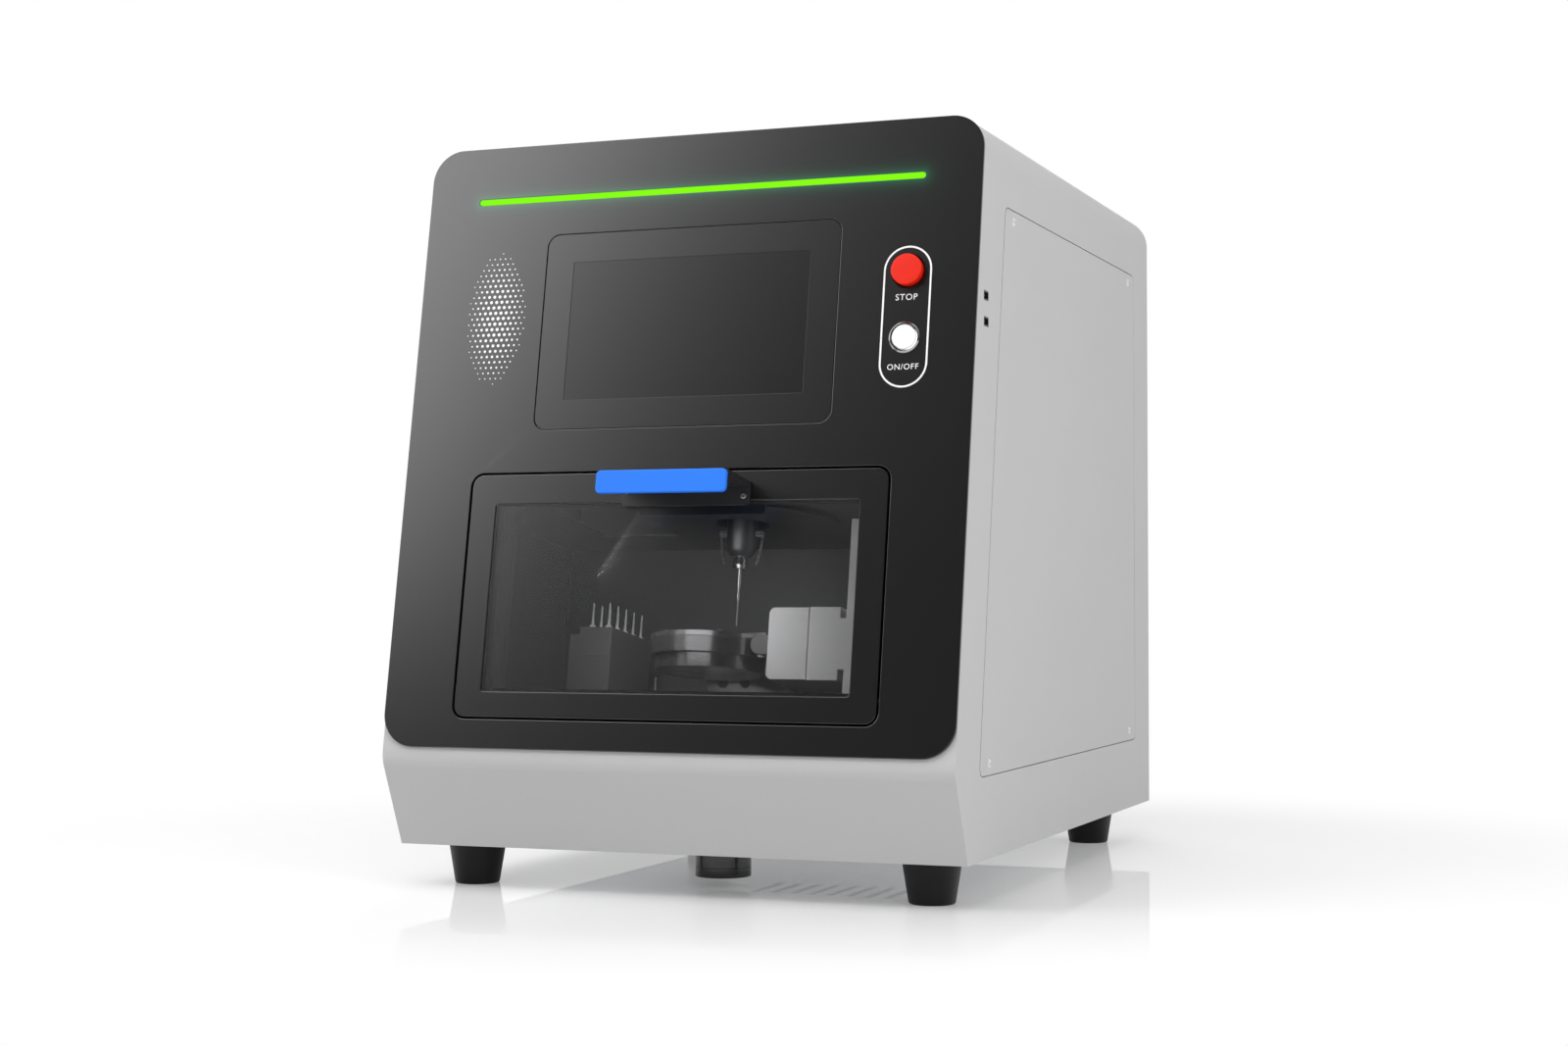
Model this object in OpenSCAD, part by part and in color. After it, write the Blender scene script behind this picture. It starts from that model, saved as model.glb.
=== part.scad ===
// Benchtop five-axis dental mill. Millimetres, +Z up, the front faces -Y,
// and the origin is the centre of the floor under the machine.
// Pieces of the leaning front and of the mechanism are drawn in panel space:
// X to the right, Y into the cabinet, Z up the slope of the front.

/* [Cabinet] */
// Width of the cabinet
body_w = 520; // [512:2:560]
// Height of the top above the floor
body_h = 660; // [640:5:700]
// Depth from the fascia's lower edge to the rear face
body_d = 712; // [690:2:760]
// Backward lean of the front, in degrees
lean = 9.9; // [9:0.1:11]
// Radius of the long top edges
top_r = 31; // [20:1:40]
// Thickness of the sheet metal
wall = 2; // [1.5:0.1:2.5]
// Height of the fascia's lower edge above the floor
front_z = 126; // [122:1:140]
// How far the chin's lower edge is set back
chin_setback = 36; // [28:1:44]
// Slope of the chin from the vertical, in degrees
chin_rake = 24.3; // [20:0.1:27]
// Radius of the nose between the chin and the front
nose_r = 25; // [15:1:35]
// Width of the inward flange round each opening
flange_w = 16; // [12:1:20]

/* [Side panels] */
// Height of the access panel's lower edge
side_z0 = 107.4; // [100:0.2:120]
// Distance of the access panel's upper edge below the top
side_top = 70.3; // [60:0.1:100]
// Distance of the access panel's front edge behind the front
side_setback = 73; // [60:1:90]
// Distance of the access panel's rear edge from the rear face
side_rear = 66.6; // [60:0.2:90]
// Corner radius of the access panel
side_r = 8; // [4:1:14]
// Dark gap round the access panel
side_gap = 0.8; // [0.5:0.1:1.2]
// Screw place in from the panel's edge, along the panel
screw_in_y = 28; // [24:1:36]
// Screw place in from the panel's edge, up the panel
screw_in_z = 9.6; // [8:0.2:11]

/* [Feet and spigot] */
// Height of each rubber foot
foot_h = 38; // [30:1:50]
// Radius of a foot at its top
foot_r1 = 25.5; // [22:0.5:28]
// Radius of a foot on the floor
foot_r0 = 20; // [16:0.5:22]
// Feet out from the middle
foot_x = 213; // [200:1:220]
// Front feet behind the fascia's lower edge
foot_y0 = 89.6; // [80:0.2:110]
// Rear feet ahead of the rear face
foot_rear = 79.4; // [60:0.2:100]
// Outer radius of the dust spigot
spigot_r = 25; // [20:0.5:30]
// Wall of the dust spigot
spigot_wall = 1.5; // [1:0.1:2.5]
// Height of the spigot's mouth above the floor
spigot_z = 8; // [4:1:14]
// Spigot behind the fascia's lower edge
spigot_y = 150; // [140:1:160]
// Room round the spigot in the base, for the end of its hose
hose_room = 2; // [1:0.5:4]

/* [Fascia] */
// Thickness of the fascia plate
fascia_t = 3; // [2.5:0.1:3.5]
// Gap between the fascia's upper edge and the top
fascia_top = 0.1; // [0:0.1:6]
// Corner radius of the fascia
fascia_r = 29; // [20:1:34]
// Length of the light bar
bar_w = 420; // [380:2:440]
// Height of the light bar
bar_h = 6; // [4:0.5:8]
// Middle of the light bar below the fascia's upper edge
bar_below = 51; // [42:1:56]
// Width of the screen bezel
screen_w = 275; // [262:1:290]
// Gap between the door and the screen bezel
screen_above = 40.1; // [34:0.1:46]
// Gap between the screen bezel and the light bar
screen_below = 31.5; // [26:0.1:36]
// Corner radius of the screen bezel
screen_r = 11; // [6:1:16]
// Dark border at each side of the lit area
screen_side = 26.15; // [20:0.05:32]
// Dark border above and below the lit area
screen_rim = 25.85; // [20:0.05:32]
// Groove round the screen bezel
screen_gap = 0.9; // [0.6:0.1:1.5]

/* [Buttons] */
// Buttons in from the cabinet's right side
button_in = 61; // [54:1:66]
// Emergency stop above the middle of the screen
estop_up = 39.7; // [36:0.1:48]
// Power button below the middle of the screen
power_down = 18; // [14:1:28]
// Radius of the emergency stop's head
estop_r = 14; // [12:0.5:16]
// How far the stop's head stands out
estop_proud = 5.5; // [5:0.5:8]
// Travel of the emergency stop
estop_travel = 4; // [3:0.5:4.5]
// Radius of the power button's ring
ring_r = 13.6; // [13:0.1:15]
// Radius of the power button's cap
cap_r = 10.9; // [10:0.1:11.2]
// Travel of the power button
cap_travel = 2; // [1:0.5:3]

/* [Door] */
// Half width of the door
door_hw = 192; // [190:0.5:194]
// Lower edge of the door up the slope
door_s0 = 27; // [25:0.5:28]
// Upper edge of the door up the slope
door_s1 = 239.4; // [238:0.2:242]
// Gap round the door
door_gap = 2; // [1.9:0.1:2.4]
// Corner radius of the door
door_r = 10; // [6:1:14]
// Half width of the clear window
pane_hw = 168; // [160:1:169]
// Lower edge of the clear window
pane_s0 = 49; // [48:0.5:54]
// Upper edge of the clear window
pane_s1 = 213.7; // [206:0.1:216]
// Depth of the door behind its face
door_d = 16; // [13:0.5:17]
// Hinge axis up from the door's lower edge
hinge_up = 20; // [19:0.5:22]
// Hinge axis behind the face
hinge_d = 8; // [7.6:0.1:8.4]
// Radius of a hinge pin
hinge_pin_r = 2.5; // [2:0.1:2.6]

/* [Handle] */
// Middle of the handle to the right of the door's middle
handle_x = 11.8; // [-20:0.2:20]
// Width of the handle
handle_w = 117.5; // [90:0.5:140]
// Reach of the handle out from the door
handle_reach = 56; // [45:1:60]
// Lower edge of the handle up the slope
handle_s0 = 209.4; // [200:0.2:212]
// Height of the grip plate
handle_h = 19.6; // [16:0.2:22]
// Thickness of the handle's sheet
handle_t = 4; // [3:0.5:5]

/* [Chamber] */
// Left inner wall of the chamber from the middle
room_x0 = -242; // [-244:1:-240]
// Right inner wall of the chamber from the middle
room_x1 = 126.8; // [126:0.1:130]
// Rear inner wall of the chamber behind the face
room_d1 = 305; // [300:1:320]
// Floor of the chamber up the slope
room_s0 = 20; // [14:1:24]
// Ceiling of the chamber up the slope
room_s1 = 231; // [230:0.5:233]
// Radius of the round cover under the ceiling
cover_r = 93; // [88:0.5:94]

/* [Rotary unit] */
// Depth of the A axis behind the face
axis_d = 160; // [156:1:164]
// Height of the A axis up the slope
axis_s = 111; // [107:0.5:115]
// Left face of the rotary head
head_x0 = 47; // [45:0.5:49]
// Joint between the rotary head and its housing
head_x1 = 85; // [80:0.5:88]
// Right face of the housing
housing_x1 = 114; // [110:0.5:116]
// Half depth of the rotary unit
unit_hd = 40; // [38:0.5:42]
// Half height of the rotary unit
unit_hs = 32.5; // [30:0.5:34]
// Middle of the blank ring from the spindle
ring_x = -23; // [-26:0.5:-22]
// Outer radius of the blank ring
blank_r1 = 55; // [54:0.5:56]
// Bore radius of the blank ring
blank_r0 = 49.4; // [49:0.1:50]
// Tilt pivot left of the rotary head's face
pivot_x = 36; // [35.6:0.1:36.6]
// Largest tilt of the blank ring to each side, in degrees
tilt_max = 25; // [15:1:26]

/* [Spindle] */
// Radius of the spindle body
spindle_r = 24; // [21:0.5:25]
// Radius of the spindle nose
nose_tip_r = 14; // [11:0.5:15]
// Lower end of the cutter up the slope
tip_s = 132.2; // [130:0.2:136]
// Underside of the collet nut up the slope
collet_s = 184.4; // [182:0.2:188]
// Radius of the collet nut
collet_r = 6.5; // [5.5:0.1:8]
// Radius of the cutter's shank
shank_r = 2; // [1.5:0.1:2.2]
// Travel of the spindle to the left
x_left = 143; // [120:1:144]
// Travel of the spindle to the right
x_right = 25; // [15:1:25]
// Travel of the spindle to the rear
y_rear = 45; // [30:1:46]
// Travel of the spindle to the front
y_front = 24; // [15:1:25]
// Travel of the spindle downwards
z_down = 60; // [40:1:62]
// Travel of the spindle upwards
z_up = 20; // [10:1:20]
// Radius of the ball screws
screw_r = 5; // [4:0.1:5.2]

/* [Magazine] */
// Middle of the magazine from the spindle
mag_x = -139; // [-142:1:-138]
// Front face of the magazine behind the fascia
mag_d = 160; // [158:0.5:164]
// Width of the magazine
mag_w = 32.3; // [28:0.1:33]
// Top of the magazine up the slope
mag_s = 131; // [125:0.5:131]
// Distance between the columns of burs
bur_px = 16.4; // [14:0.1:18]
// Distance between the rows of burs
bur_pd = 18.1; // [16:0.1:19]
// Number of burs in a column
bur_rows = 5; // [3:1:5]
// How far a bur stands out of the magazine
bur_out = 24; // [20:0.5:28]

/* [Rear] */
// Side of the square cooling fan
fan_w = 120; // [92:1:120]
// Length of the air fitting behind the rear face
fitting_len = 18; // [12:1:24]
// Bore radius of the air fitting
fitting_bore = 3; // [2:0.1:4]

/* [Hidden] */
$fn = 64;

seat = 0.3; // clearance between a piece and what it seats on
run = 0.05; // radial clearance of a turning shaft or a sliding stem
slip = 0.5; // clearance of the slides
eps = 0.1; // overlap of joined solids and of cuts

fascia_len = (body_h - fascia_top - front_z) / cos(lean); // length of the fascia up the slope
bar_s = fascia_len - bar_below; // middle of the light bar up the slope
screen_s0 = door_s1 + screen_above; // lower edge of the bezel
screen_s1 = bar_s - bar_h / 2 - screen_below; // upper edge of the bezel
screen_s = (screen_s0 + screen_s1) / 2;
button_x = body_w / 2 - button_in;
estop_s = screen_s + estop_up;
power_s = screen_s - power_down;
front_y = handle_s0 * sin(lean) - handle_reach * cos(lean);
rear_y = body_d + fitting_len;
mid_y = (front_y + rear_y) / 2;

blue = "#4287ff";
black = "#1e1e20";
iron = "#55585b";
steel = "#a7a9aa";
silver = "#c6c6c6";

// ---- places and plain shapes ----

module place() {
    translate([0, -mid_y, 0]) children();
}

module on_front() {
    translate([0, -mid_y, front_z]) rotate([-lean, 0, 0]) children();
}

module box(x0, x1, y0, y1, z0, z1) {
    translate([x0, y0, z0]) cube([x1 - x0, y1 - y0, z1 - z0]);
}

module rod_x(x0, x1, y, z, r) {
    translate([x0, y, z]) rotate([0, 90, 0]) cylinder(h = x1 - x0, r = r);
}

module rod_y(y0, y1, x, z, r) {
    translate([x, y1, z]) rotate([90, 0, 0]) cylinder(h = y1 - y0, r = r);
}

module rod_z(z0, z1, x, y, r) {
    translate([x, y, z0]) cylinder(h = z1 - z0, r = r);
}

// a flat outline in X and Z made thick along Y
module slab(y0, y1) {
    translate([0, y1, 0]) rotate([90, 0, 0]) linear_extrude(y1 - y0) children();
}

// a flat outline in Y and Z made thick along X
module plank(x0, x1) {
    translate([x0, 0, 0]) rotate([90, 0, 90]) linear_extrude(x1 - x0) children();
}

// rectangle from x0 to x1 and z0 to z1 with round corners
module rounded(x0, x1, z0, z1, r) {
    translate([x0 + r, z0]) square([x1 - x0 - 2 * r, z1 - z0]);
    translate([x0, z0 + r]) square([x1 - x0, z1 - z0 - 2 * r]);
    for (x = [x0 + r, x1 - r], z = [z0 + r, z1 - r])
        translate([x, z]) circle(r);
}

// ---- cabinet ----

// the point where two lines cross, each given by a point and a direction
function meet(p, u, q, v) =
    p + u * cross(q - p, v) / cross(u, v);

chin_dir = [-sin(chin_rake), cos(chin_rake)];
chin_in = [cos(chin_rake), sin(chin_rake)];
front_dir = [sin(lean), cos(lean)];
front_in = [cos(lean), -sin(lean)];
chin_at = [chin_setback, foot_h];
front_at = [0, front_z] + (fascia_t + run) * front_in;

// side outline of the body, t inside the outer skin
module side_outline(t) {
    centre = meet(chin_at + nose_r * chin_in, chin_dir, front_at + nose_r * front_in, front_dir);
    r = nose_r - t;
    p = chin_at + t * chin_in;
    q = front_at + t * front_in;
    low = p - chin_dir * 60;
    high = q + front_dir * (body_h + 60);
    polygon([low, centre - r * chin_in, centre - r * front_in, high, [body_d - t, high[1]],
        [body_d - t, low[1]]]);
    translate(centre) circle(r, $fn = 128);
}

// front outline of the body, t inside the outer skin, standing on z0
module end_outline(t, z0) {
    w = body_w / 2 - t;
    r = top_r - t;
    translate([-w, z0]) square([2 * w, body_h - top_r - z0]);
    translate([-w + r, z0]) square([2 * (w - r), body_h - t - z0]);
    for (side = [-1, 1]) translate([side * (w - r), body_h - top_r]) circle(r);
}

module body_block(t, z0) {
    intersection() {
        plank(-body_w, body_w) side_outline(t);
        slab(-body_d, 2 * body_d) end_outline(t, z0);
    }
}

function side_y(z) = (z - front_z) * tan(lean) + side_setback;
side_y1 = body_d - side_rear;
side_z1 = body_h - side_top;

// corner points of an access panel, grown by g
function side_points(g) = [
    [side_y(side_z0 - g) - g / cos(lean), side_z0 - g],
    [side_y1 + g, side_z0 - g],
    [side_y1 + g, side_z1 + g],
    [side_y(side_z1 + g) - g / cos(lean), side_z1 + g]];

// points of a polygon whose corners are arcs of radius r, n points each
function soft_corners(p, r, n = 7) = [
    for (i = [0 : len(p) - 1])
        let (a = p[(i + len(p) - 1) % len(p)], b = p[i], c = p[(i + 1) % len(p)],
            u = (a - b) / norm(a - b), v = (c - b) / norm(c - b),
            half = acos(u * v) / 2,
            m = b + (u + v) / norm(u + v) * r / sin(half),
            s = b + u * r / tan(half) - m, e = b + v * r / tan(half) - m)
            for (k = [0 : n - 1])
                let (w = s * (1 - k / (n - 1)) + e * k / (n - 1))
                    m + w / norm(w) * r];

module side_panel_outline(g) {
    polygon(soft_corners(side_points(g), side_r + g));
}

side_screws = [
    [side_y(side_z0) + screw_in_y, side_z0 + screw_in_z],
    [side_y1 - screw_in_y, side_z0 + screw_in_z],
    [side_y1 - screw_in_y, side_z1 - screw_in_z],
    [side_y(side_z1) + screw_in_y, side_z1 - screw_in_z]];
panel_t = 1.5; // thickness of an access panel
ledge_t = 1.5; // thickness of the ledge behind it
thread_r = 2; // radius of a cabinet screw's thread

usb_z = [body_h - 175.1, body_h - 153.3]; // heights of the sockets
usb_back = 30.56; // lower socket behind the sloping front
usb_y = (usb_z[0] - front_z) * tan(lean) + usb_back;
usb_w = 13.5; // socket width
usb_h = 7.7; // socket height
usb_len = 16; // socket length
usb_rim = 0.7; // metal round a socket's mouth
usb_in = 12; // depth of the mouth
usb_tongue = 1.8; // thickness of the tongue
rear_z0 = foot_h + flange_w; // lower edge of the rear opening

module cabinet_shell() {
    w = body_w / 2;
    color(silver) place() difference() {
        union() {
            difference() {
                body_block(0, foot_h);
                body_block(wall, foot_h - 1);
            }
            // ledges that carry the access panels
            intersection() {
                body_block(0, foot_h);
                for (side = [-1, 1]) mirror([side < 0 ? 1 : 0, 0, 0])
                    plank(w - wall - ledge_t, w - wall + eps) difference() {
                        side_panel_outline(flange_w / 2);
                        side_panel_outline(-flange_w);
                    }
            }
        }
        for (side = [-1, 1]) mirror([side < 0 ? 1 : 0, 0, 0]) {
            plank(w - wall, w + 1) side_panel_outline(side_gap);
            for (p = side_screws) rod_x(w - 8, w, p[0], p[1], thread_r + seat);
        }
        // rear opening, then the front opening behind the fascia
        slab(body_d - wall - 1, body_d + 1) rounded(-w + flange_w, w - flange_w, rear_z0,
            body_h - flange_w, top_r - flange_w / 2);
        for (p = rear_screws) rod_y(body_d - wall - 1, body_d + 1, p[0], p[1], thread_r + seat);
        translate([0, 0, front_z]) rotate([-lean, 0, 0])
            slab(-9, fascia_t + wall + 6) rounded(-w + 22, w - 22, 14, fascia_len - 22,
                fascia_r - 10);
        for (z = usb_z) box(w - 9, w + 1, usb_y - usb_w / 2 - seat, usb_y + usb_w / 2 + seat,
            z - usb_h / 2 - seat, z + usb_h / 2 + seat);
    }
}

module access_panel() {
    w = body_w / 2;
    color(silver) place() difference() {
        plank(w - panel_t, w) side_panel_outline(0);
        for (p = side_screws) rod_x(w - 9, w + 1, p[0], p[1], thread_r + seat);
    }
}

module left_access_panel() {
    mirror([1, 0, 0]) access_panel();
}

module right_access_panel() {
    access_panel();
}

rear_t = 2; // thickness of the rear panel
rear_face = body_d - wall; // outer face of the rear panel
rear_screws = [for (x = [-1, 1], z = [rear_z0 + 16, 250, 450, body_h - 90])
    [x * (body_w / 2 - flange_w / 2 - 1), z]];
fan_in = 130; // middle of the fan in from the right side
fan_down = 160; // middle of the fan below the top
inlet_in = 70; // middle of the mains inlet in from the left side
inlet_up = 82; // middle of the mains inlet above the underside
rocker_up = 46; // rocker above the inlet
fitting_in = 70; // air fitting in from the right side
fitting_up = 72; // air fitting above the underside
fan_at = [body_w / 2 - fan_in, body_h - fan_down];
inlet_at = [inlet_in - body_w / 2, foot_h + inlet_up];
fitting_at = [body_w / 2 - fitting_in, foot_h + fitting_up];
fitting_r = 6; // radius of the fitting's thread
fan_hub = 20; // radius of the fan's hub
vent_step = 9.5; // distance between the rings of vent holes
vent_r = 3.4; // radius of a vent hole
inlet_hw = 14.2; // half width of the inlet's body
inlet_low = 12.6; // inlet's body below its middle
rocker_high = 16.6; // inlet's body above the rocker's middle

module rear_panel() {
    w = body_w / 2 - wall - seat;
    color(silver) place() difference() {
        slab(rear_face - rear_t, rear_face) {
            translate([-w, foot_h + wall + seat])
                square([2 * w, body_h - top_r - foot_h - wall - seat]);
            translate([-w + top_r, foot_h + wall + seat])
                square([2 * (w - top_r), body_h - foot_h - 2 * (wall + seat)]);
            for (side = [-1, 1]) translate([side * (w - top_r + wall + seat), body_h - top_r])
                circle(top_r - wall - seat);
        }
        for (ring = [0 : 4], k = [0 : 5 + 6 * ring])
            rotate_about_fan(k * 360 / (6 + 6 * ring))
                rod_y(rear_face - 9, rear_face + 1, vent_step * (ring + 1), 0, vent_r);
        box(inlet_at[0] - inlet_hw - seat, inlet_at[0] + inlet_hw + seat, rear_face - 9,
            rear_face + 1, inlet_at[1] - inlet_low - seat,
            inlet_at[1] + rocker_up + rocker_high + seat);
        rod_y(rear_face - 9, rear_face + 1, fitting_at[0], fitting_at[1], fitting_r + seat);
        for (p = rear_screws) rod_y(rear_face - 9, rear_face + 1, p[0], p[1], thread_r + seat);
    }
}

module rotate_about_fan(a) {
    translate([fan_at[0], 0, fan_at[1]]) rotate([0, a, 0]) children();
}

head_r = 4; // radius of a cabinet screw's head
head_t = 1.4; // thickness of the head
socket_r = 1.5; // radius of the socket in the head
screw_len = 8; // length of a cabinet screw
rear_head_r = 3.6; // radius of a rear screw's head

module screw_along_x(x, y, z, length) {
    rod_x(x - length, x + eps, y, z, thread_r);
    difference() {
        rod_x(x, x + head_t, y, z, head_r);
        rod_x(x + head_t / 3, x + 2 * head_t, y, z, socket_r);
    }
}

pan_t = 2; // thickness of the base pan
pan_w = body_w / 2 - wall - seat;
bolt_r = 3; // radius of a foot bolt
bolt_in = 14; // foot bolt inside the foot
nut_r = 5.5; // corner radius of a foot nut
nut_t = 5; // thickness of a foot nut
foot_places = [for (x = [-foot_x, foot_x], y = [foot_y0, body_d - foot_rear]) [x, y]];

module cabinet_screws() {
    w = body_w / 2;
    color(steel) place() {
        for (side = [-1, 1]) mirror([side < 0 ? 1 : 0, 0, 0])
            for (p = side_screws) screw_along_x(w, p[0], p[1], screw_len);
        for (p = rear_screws) {
            rod_y(body_d - screw_len - 1, body_d, p[0], p[1], thread_r);
            rod_y(body_d, body_d + head_t, p[0], p[1], rear_head_r);
        }
        for (p = foot_places) {
            rod_z(foot_h - bolt_in, foot_h + pan_t + nut_t + bolt_r, p[0], p[1], bolt_r);
            translate([p[0], p[1], foot_h + pan_t]) cylinder(h = nut_t, r = nut_r, $fn = 6);
        }
    }
}

chin_pan = chin_setback + wall / cos(chin_rake) + seat; // front edge of the base pan

module base_pan() {
    color(steel) place() difference() {
        union() {
            box(-pan_w, pan_w, chin_pan, rear_face - rear_t - seat, foot_h, foot_h + pan_t);
            for (x = [-pan_w, pan_w - 1.5])
                box(x, x + 1.5, chin_pan + 30, rear_face - rear_t - seat, foot_h, foot_h + 20);
            box(-pan_w, pan_w, rear_face - rear_t - seat - 1.5, rear_face - rear_t - seat,
                foot_h, foot_h + 20);
            // risers under the chamber
            for (x = [-170, 90]) box(x, x + 12, 70, 300, foot_h, front_z + 40);
            box(-170, 102, 290, 302, foot_h, front_z + 40);
        }
        translate([0, 0, front_z]) rotate([-lean, 0, 0])
            box(-body_w, body_w, -200, room_d1 + 40, room_s0 - wall - seat, body_h);
        rod_z(foot_h - 1, foot_h + 9, 0, spigot_y, spigot_r + hose_room);
        for (p = foot_places) rod_z(foot_h - 1, foot_h + 9, p[0], p[1], bolt_r + seat);
        for (x = [-70 : 20 : 70]) box(x - 4, x + 4, 400, 480, foot_h - 1, foot_h + 9);
    }
}

module feet() {
    color(black) place() for (p = foot_places) translate([p[0], p[1], 0]) difference() {
        union() {
            cylinder(h = foot_h - 3, r1 = foot_r0, r2 = foot_r1);
            translate([0, 0, foot_h - 3]) cylinder(h = 3, r = foot_r1);
        }
        translate([0, 0, -1]) cylinder(h = 9, r = foot_r0 / 2);
        translate([0, 0, foot_h - bolt_in - 1]) cylinder(h = bolt_in + 6, r = bolt_r + run);
    }
}

module dust_spigot() {
    color(steel) place() difference() {
        union() {
            rod_z(spigot_z, front_z + 20, 0, spigot_y, spigot_r);
            rod_z(foot_h + pan_t + seat, foot_h + pan_t + 4, 0, spigot_y, spigot_r + 9);
        }
        rod_z(spigot_z - 1, front_z + 21, 0, spigot_y, spigot_r - spigot_wall);
        translate([0, 0, front_z]) rotate([-lean, 0, 0])
            box(-body_w, body_w, -200, room_d1, room_s0 - wall - seat, body_h);
    }
}

// ---- fascia ----

hinge_s = door_s0 + hinge_up; // hinge axis up the slope

module door_outline(g) {
    rounded(-door_hw - g, door_hw + g, door_s0 - g, door_s1 + g, door_r + g);
}

module screen_outline(g) {
    rounded(-screen_w / 2 - g, screen_w / 2 + g, screen_s0 - g, screen_s1 + g,
        screen_r + g);
}

module active_outline(g) {
    in = screen_side - g;
    translate([-screen_w / 2 + in, screen_s0 + screen_rim - g])
        square([screen_w - 2 * in, screen_s1 - screen_s0 - 2 * (screen_rim - g)]);
}

module bar_outline(g) {
    rounded(-bar_w / 2 - g, bar_w / 2 + g, bar_s - bar_h / 2 - g, bar_s + bar_h / 2 + g,
        bar_h / 2 + g - 0.01);
}

module front_fascia() {
    color(black) on_front() difference() {
        slab(0, fascia_t) rounded(-body_w / 2, body_w / 2, 0, fascia_len, fascia_r);
        slab(-1, fascia_t + 1) {
            door_outline(door_gap);
            screen_outline(screen_gap);
            bar_outline(seat / 2);
        }
        rod_y(-1, fascia_t + 1, button_x, estop_s, estop_r + 0.6);
        rod_y(-1, fascia_t + 1, button_x, power_s, ring_r - 1);
    }
}

module light_bar() {
    color("#80ff00") on_front() {
        slab(-0.4, fascia_t + eps) bar_outline(0);
        slab(fascia_t + seat / 2, fascia_t + 7) bar_outline(5);
        slab(fascia_t, fascia_t + 1) bar_outline(-0.5);
    }
}

module display_bezel() {
    color(black) on_front() difference() {
        union() {
            slab(0.3, fascia_t + 1) screen_outline(0);
            slab(fascia_t + seat, fascia_t + 2.4) screen_outline(5);
        }
        slab(-1, fascia_t + 9) active_outline(seat / 2);
    }
}

module display_panel() {
    color("#141415") on_front() {
        slab(0.6, fascia_t + 3) active_outline(0);
        slab(fascia_t + 2.4 + seat, fascia_t + 20) screen_outline(-8);
    }
}

cup_d = fascia_t + estop_travel + 3; // floor of the stop's cup
stem_r = 5; // radius of the stop's stem
stem_end = cup_d + 30;

module estop_housing() {
    color(black) on_front() difference() {
        union() {
            rod_y(fascia_t + seat, cup_d + 3, button_x, estop_s, estop_r + 4);
            rod_y(cup_d, cup_d + 22, button_x, estop_s, 11);
            box(button_x - 15, button_x + 15, cup_d + 20, cup_d + 44, estop_s - 19, estop_s + 19);
        }
        rod_y(0, cup_d, button_x, estop_s, estop_r + 0.6);
        rod_y(0, stem_end + estop_travel + 2, button_x, estop_s, stem_r + run);
    }
}

module estop_plunger() {
    color(iron) on_front() rod_y(3 - estop_proud, stem_end, button_x, estop_s, stem_r);
}

module estop_head() {
    color("#f23c28") on_front() difference() {
        rod_y(-estop_proud, fascia_t - 1, button_x, estop_s, estop_r);
        rod_y(3 - seat - estop_proud, fascia_t, button_x, estop_s, stem_r + run);
    }
}

module power_switch_body() {
    color(silver) on_front() difference() {
        union() {
            rod_y(-2, 0, button_x, power_s, ring_r);
            rod_y(-eps, 24, button_x, power_s, ring_r - 1.3);
            rod_y(24 - eps, 34, button_x, power_s, 8);
        }
        rod_y(-3, 12, button_x, power_s, cap_r + run);
    }
}

module power_button_cap() {
    color("white") on_front()
        rod_y(-3.6, 12 - seat - cap_travel, button_x, power_s, cap_r);
}

module usb_ports() {
    w = body_w / 2;
    color(iron) place() for (z = usb_z) difference() {
        box(w - usb_len, w, usb_y - usb_w / 2, usb_y + usb_w / 2, z - usb_h / 2, z + usb_h / 2);
        difference() {
            box(w - usb_in, w + 1, usb_y - usb_w / 2 + usb_rim, usb_y + usb_w / 2 - usb_rim,
                z - usb_h / 2 + 1.5 * usb_rim, z + usb_h / 2 - 1.5 * usb_rim);
            box(w - usb_in - 1, w - 2, usb_y - usb_w / 2 + 2 * usb_rim,
                usb_y + usb_w / 2 - 2 * usb_rim, z - eps, z + usb_tongue - eps);
        }
    }
}

// ---- door ----

frame_in = 4; // inner frame inside the door's edge
seal_w = 5; // width of the seal
seal_s0 = hinge_s + 2; // seal stays above the hinge axis
seal_s1 = door_s1 - 8.4;
flange_d = door_d + 3.3; // front flange of the chamber liner
// lower edge of the inner frame, low enough for the pins and clear of the flange as it turns
frame_s0 = hinge_s - sqrt((flange_d - slip - hinge_d) ^ 2 - (door_d - hinge_d) ^ 2);

module pane_outline(g) {
    rounded(-pane_hw - g, pane_hw + g, pane_s0 - g, pane_s1 + g, 3);
}

module door_panel() {
    color(black) on_front() difference() {
        slab(0, fascia_t) door_outline(0);
        slab(-1, fascia_t + 1) pane_outline(0);
    }
}

module door_window() {
    color([0.3, 0.3, 0.32, 0.4]) on_front() {
        slab(0.3, fascia_t + 1) pane_outline(-0.2);
        slab(fascia_t + seat / 2, fascia_t + 2) pane_outline(5);
    }
}

module door_frame() {
    d0 = fascia_t + 2 + seat;
    color(black) on_front() difference() {
        slab(d0, door_d) rounded(-door_hw + frame_in, door_hw - frame_in, frame_s0,
            door_s1 - frame_in, door_r - 3);
        slab(d0 - 1, door_d + 1) pane_outline(-eps);
        for (side = [-1, 1]) rod_x(min(side * door_hw, side * (door_hw - 14)),
            max(side * door_hw, side * (door_hw - 14)), hinge_d, hinge_s, hinge_pin_r + run);
    }
}

module seal_outline(g) {
    rounded(-door_hw + 12 - g, door_hw - 12 + g, seal_s0 - g, seal_s1 + g, 6);
}

module door_seal() {
    color(black) on_front() slab(door_d, flange_d - seat) difference() {
        seal_outline(0);
        seal_outline(-seal_w);
    }
}

handle_x0 = handle_x - handle_w / 2;
handle_x1 = handle_x + handle_w / 2;
handle_s1 = handle_s0 + handle_h;

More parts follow.
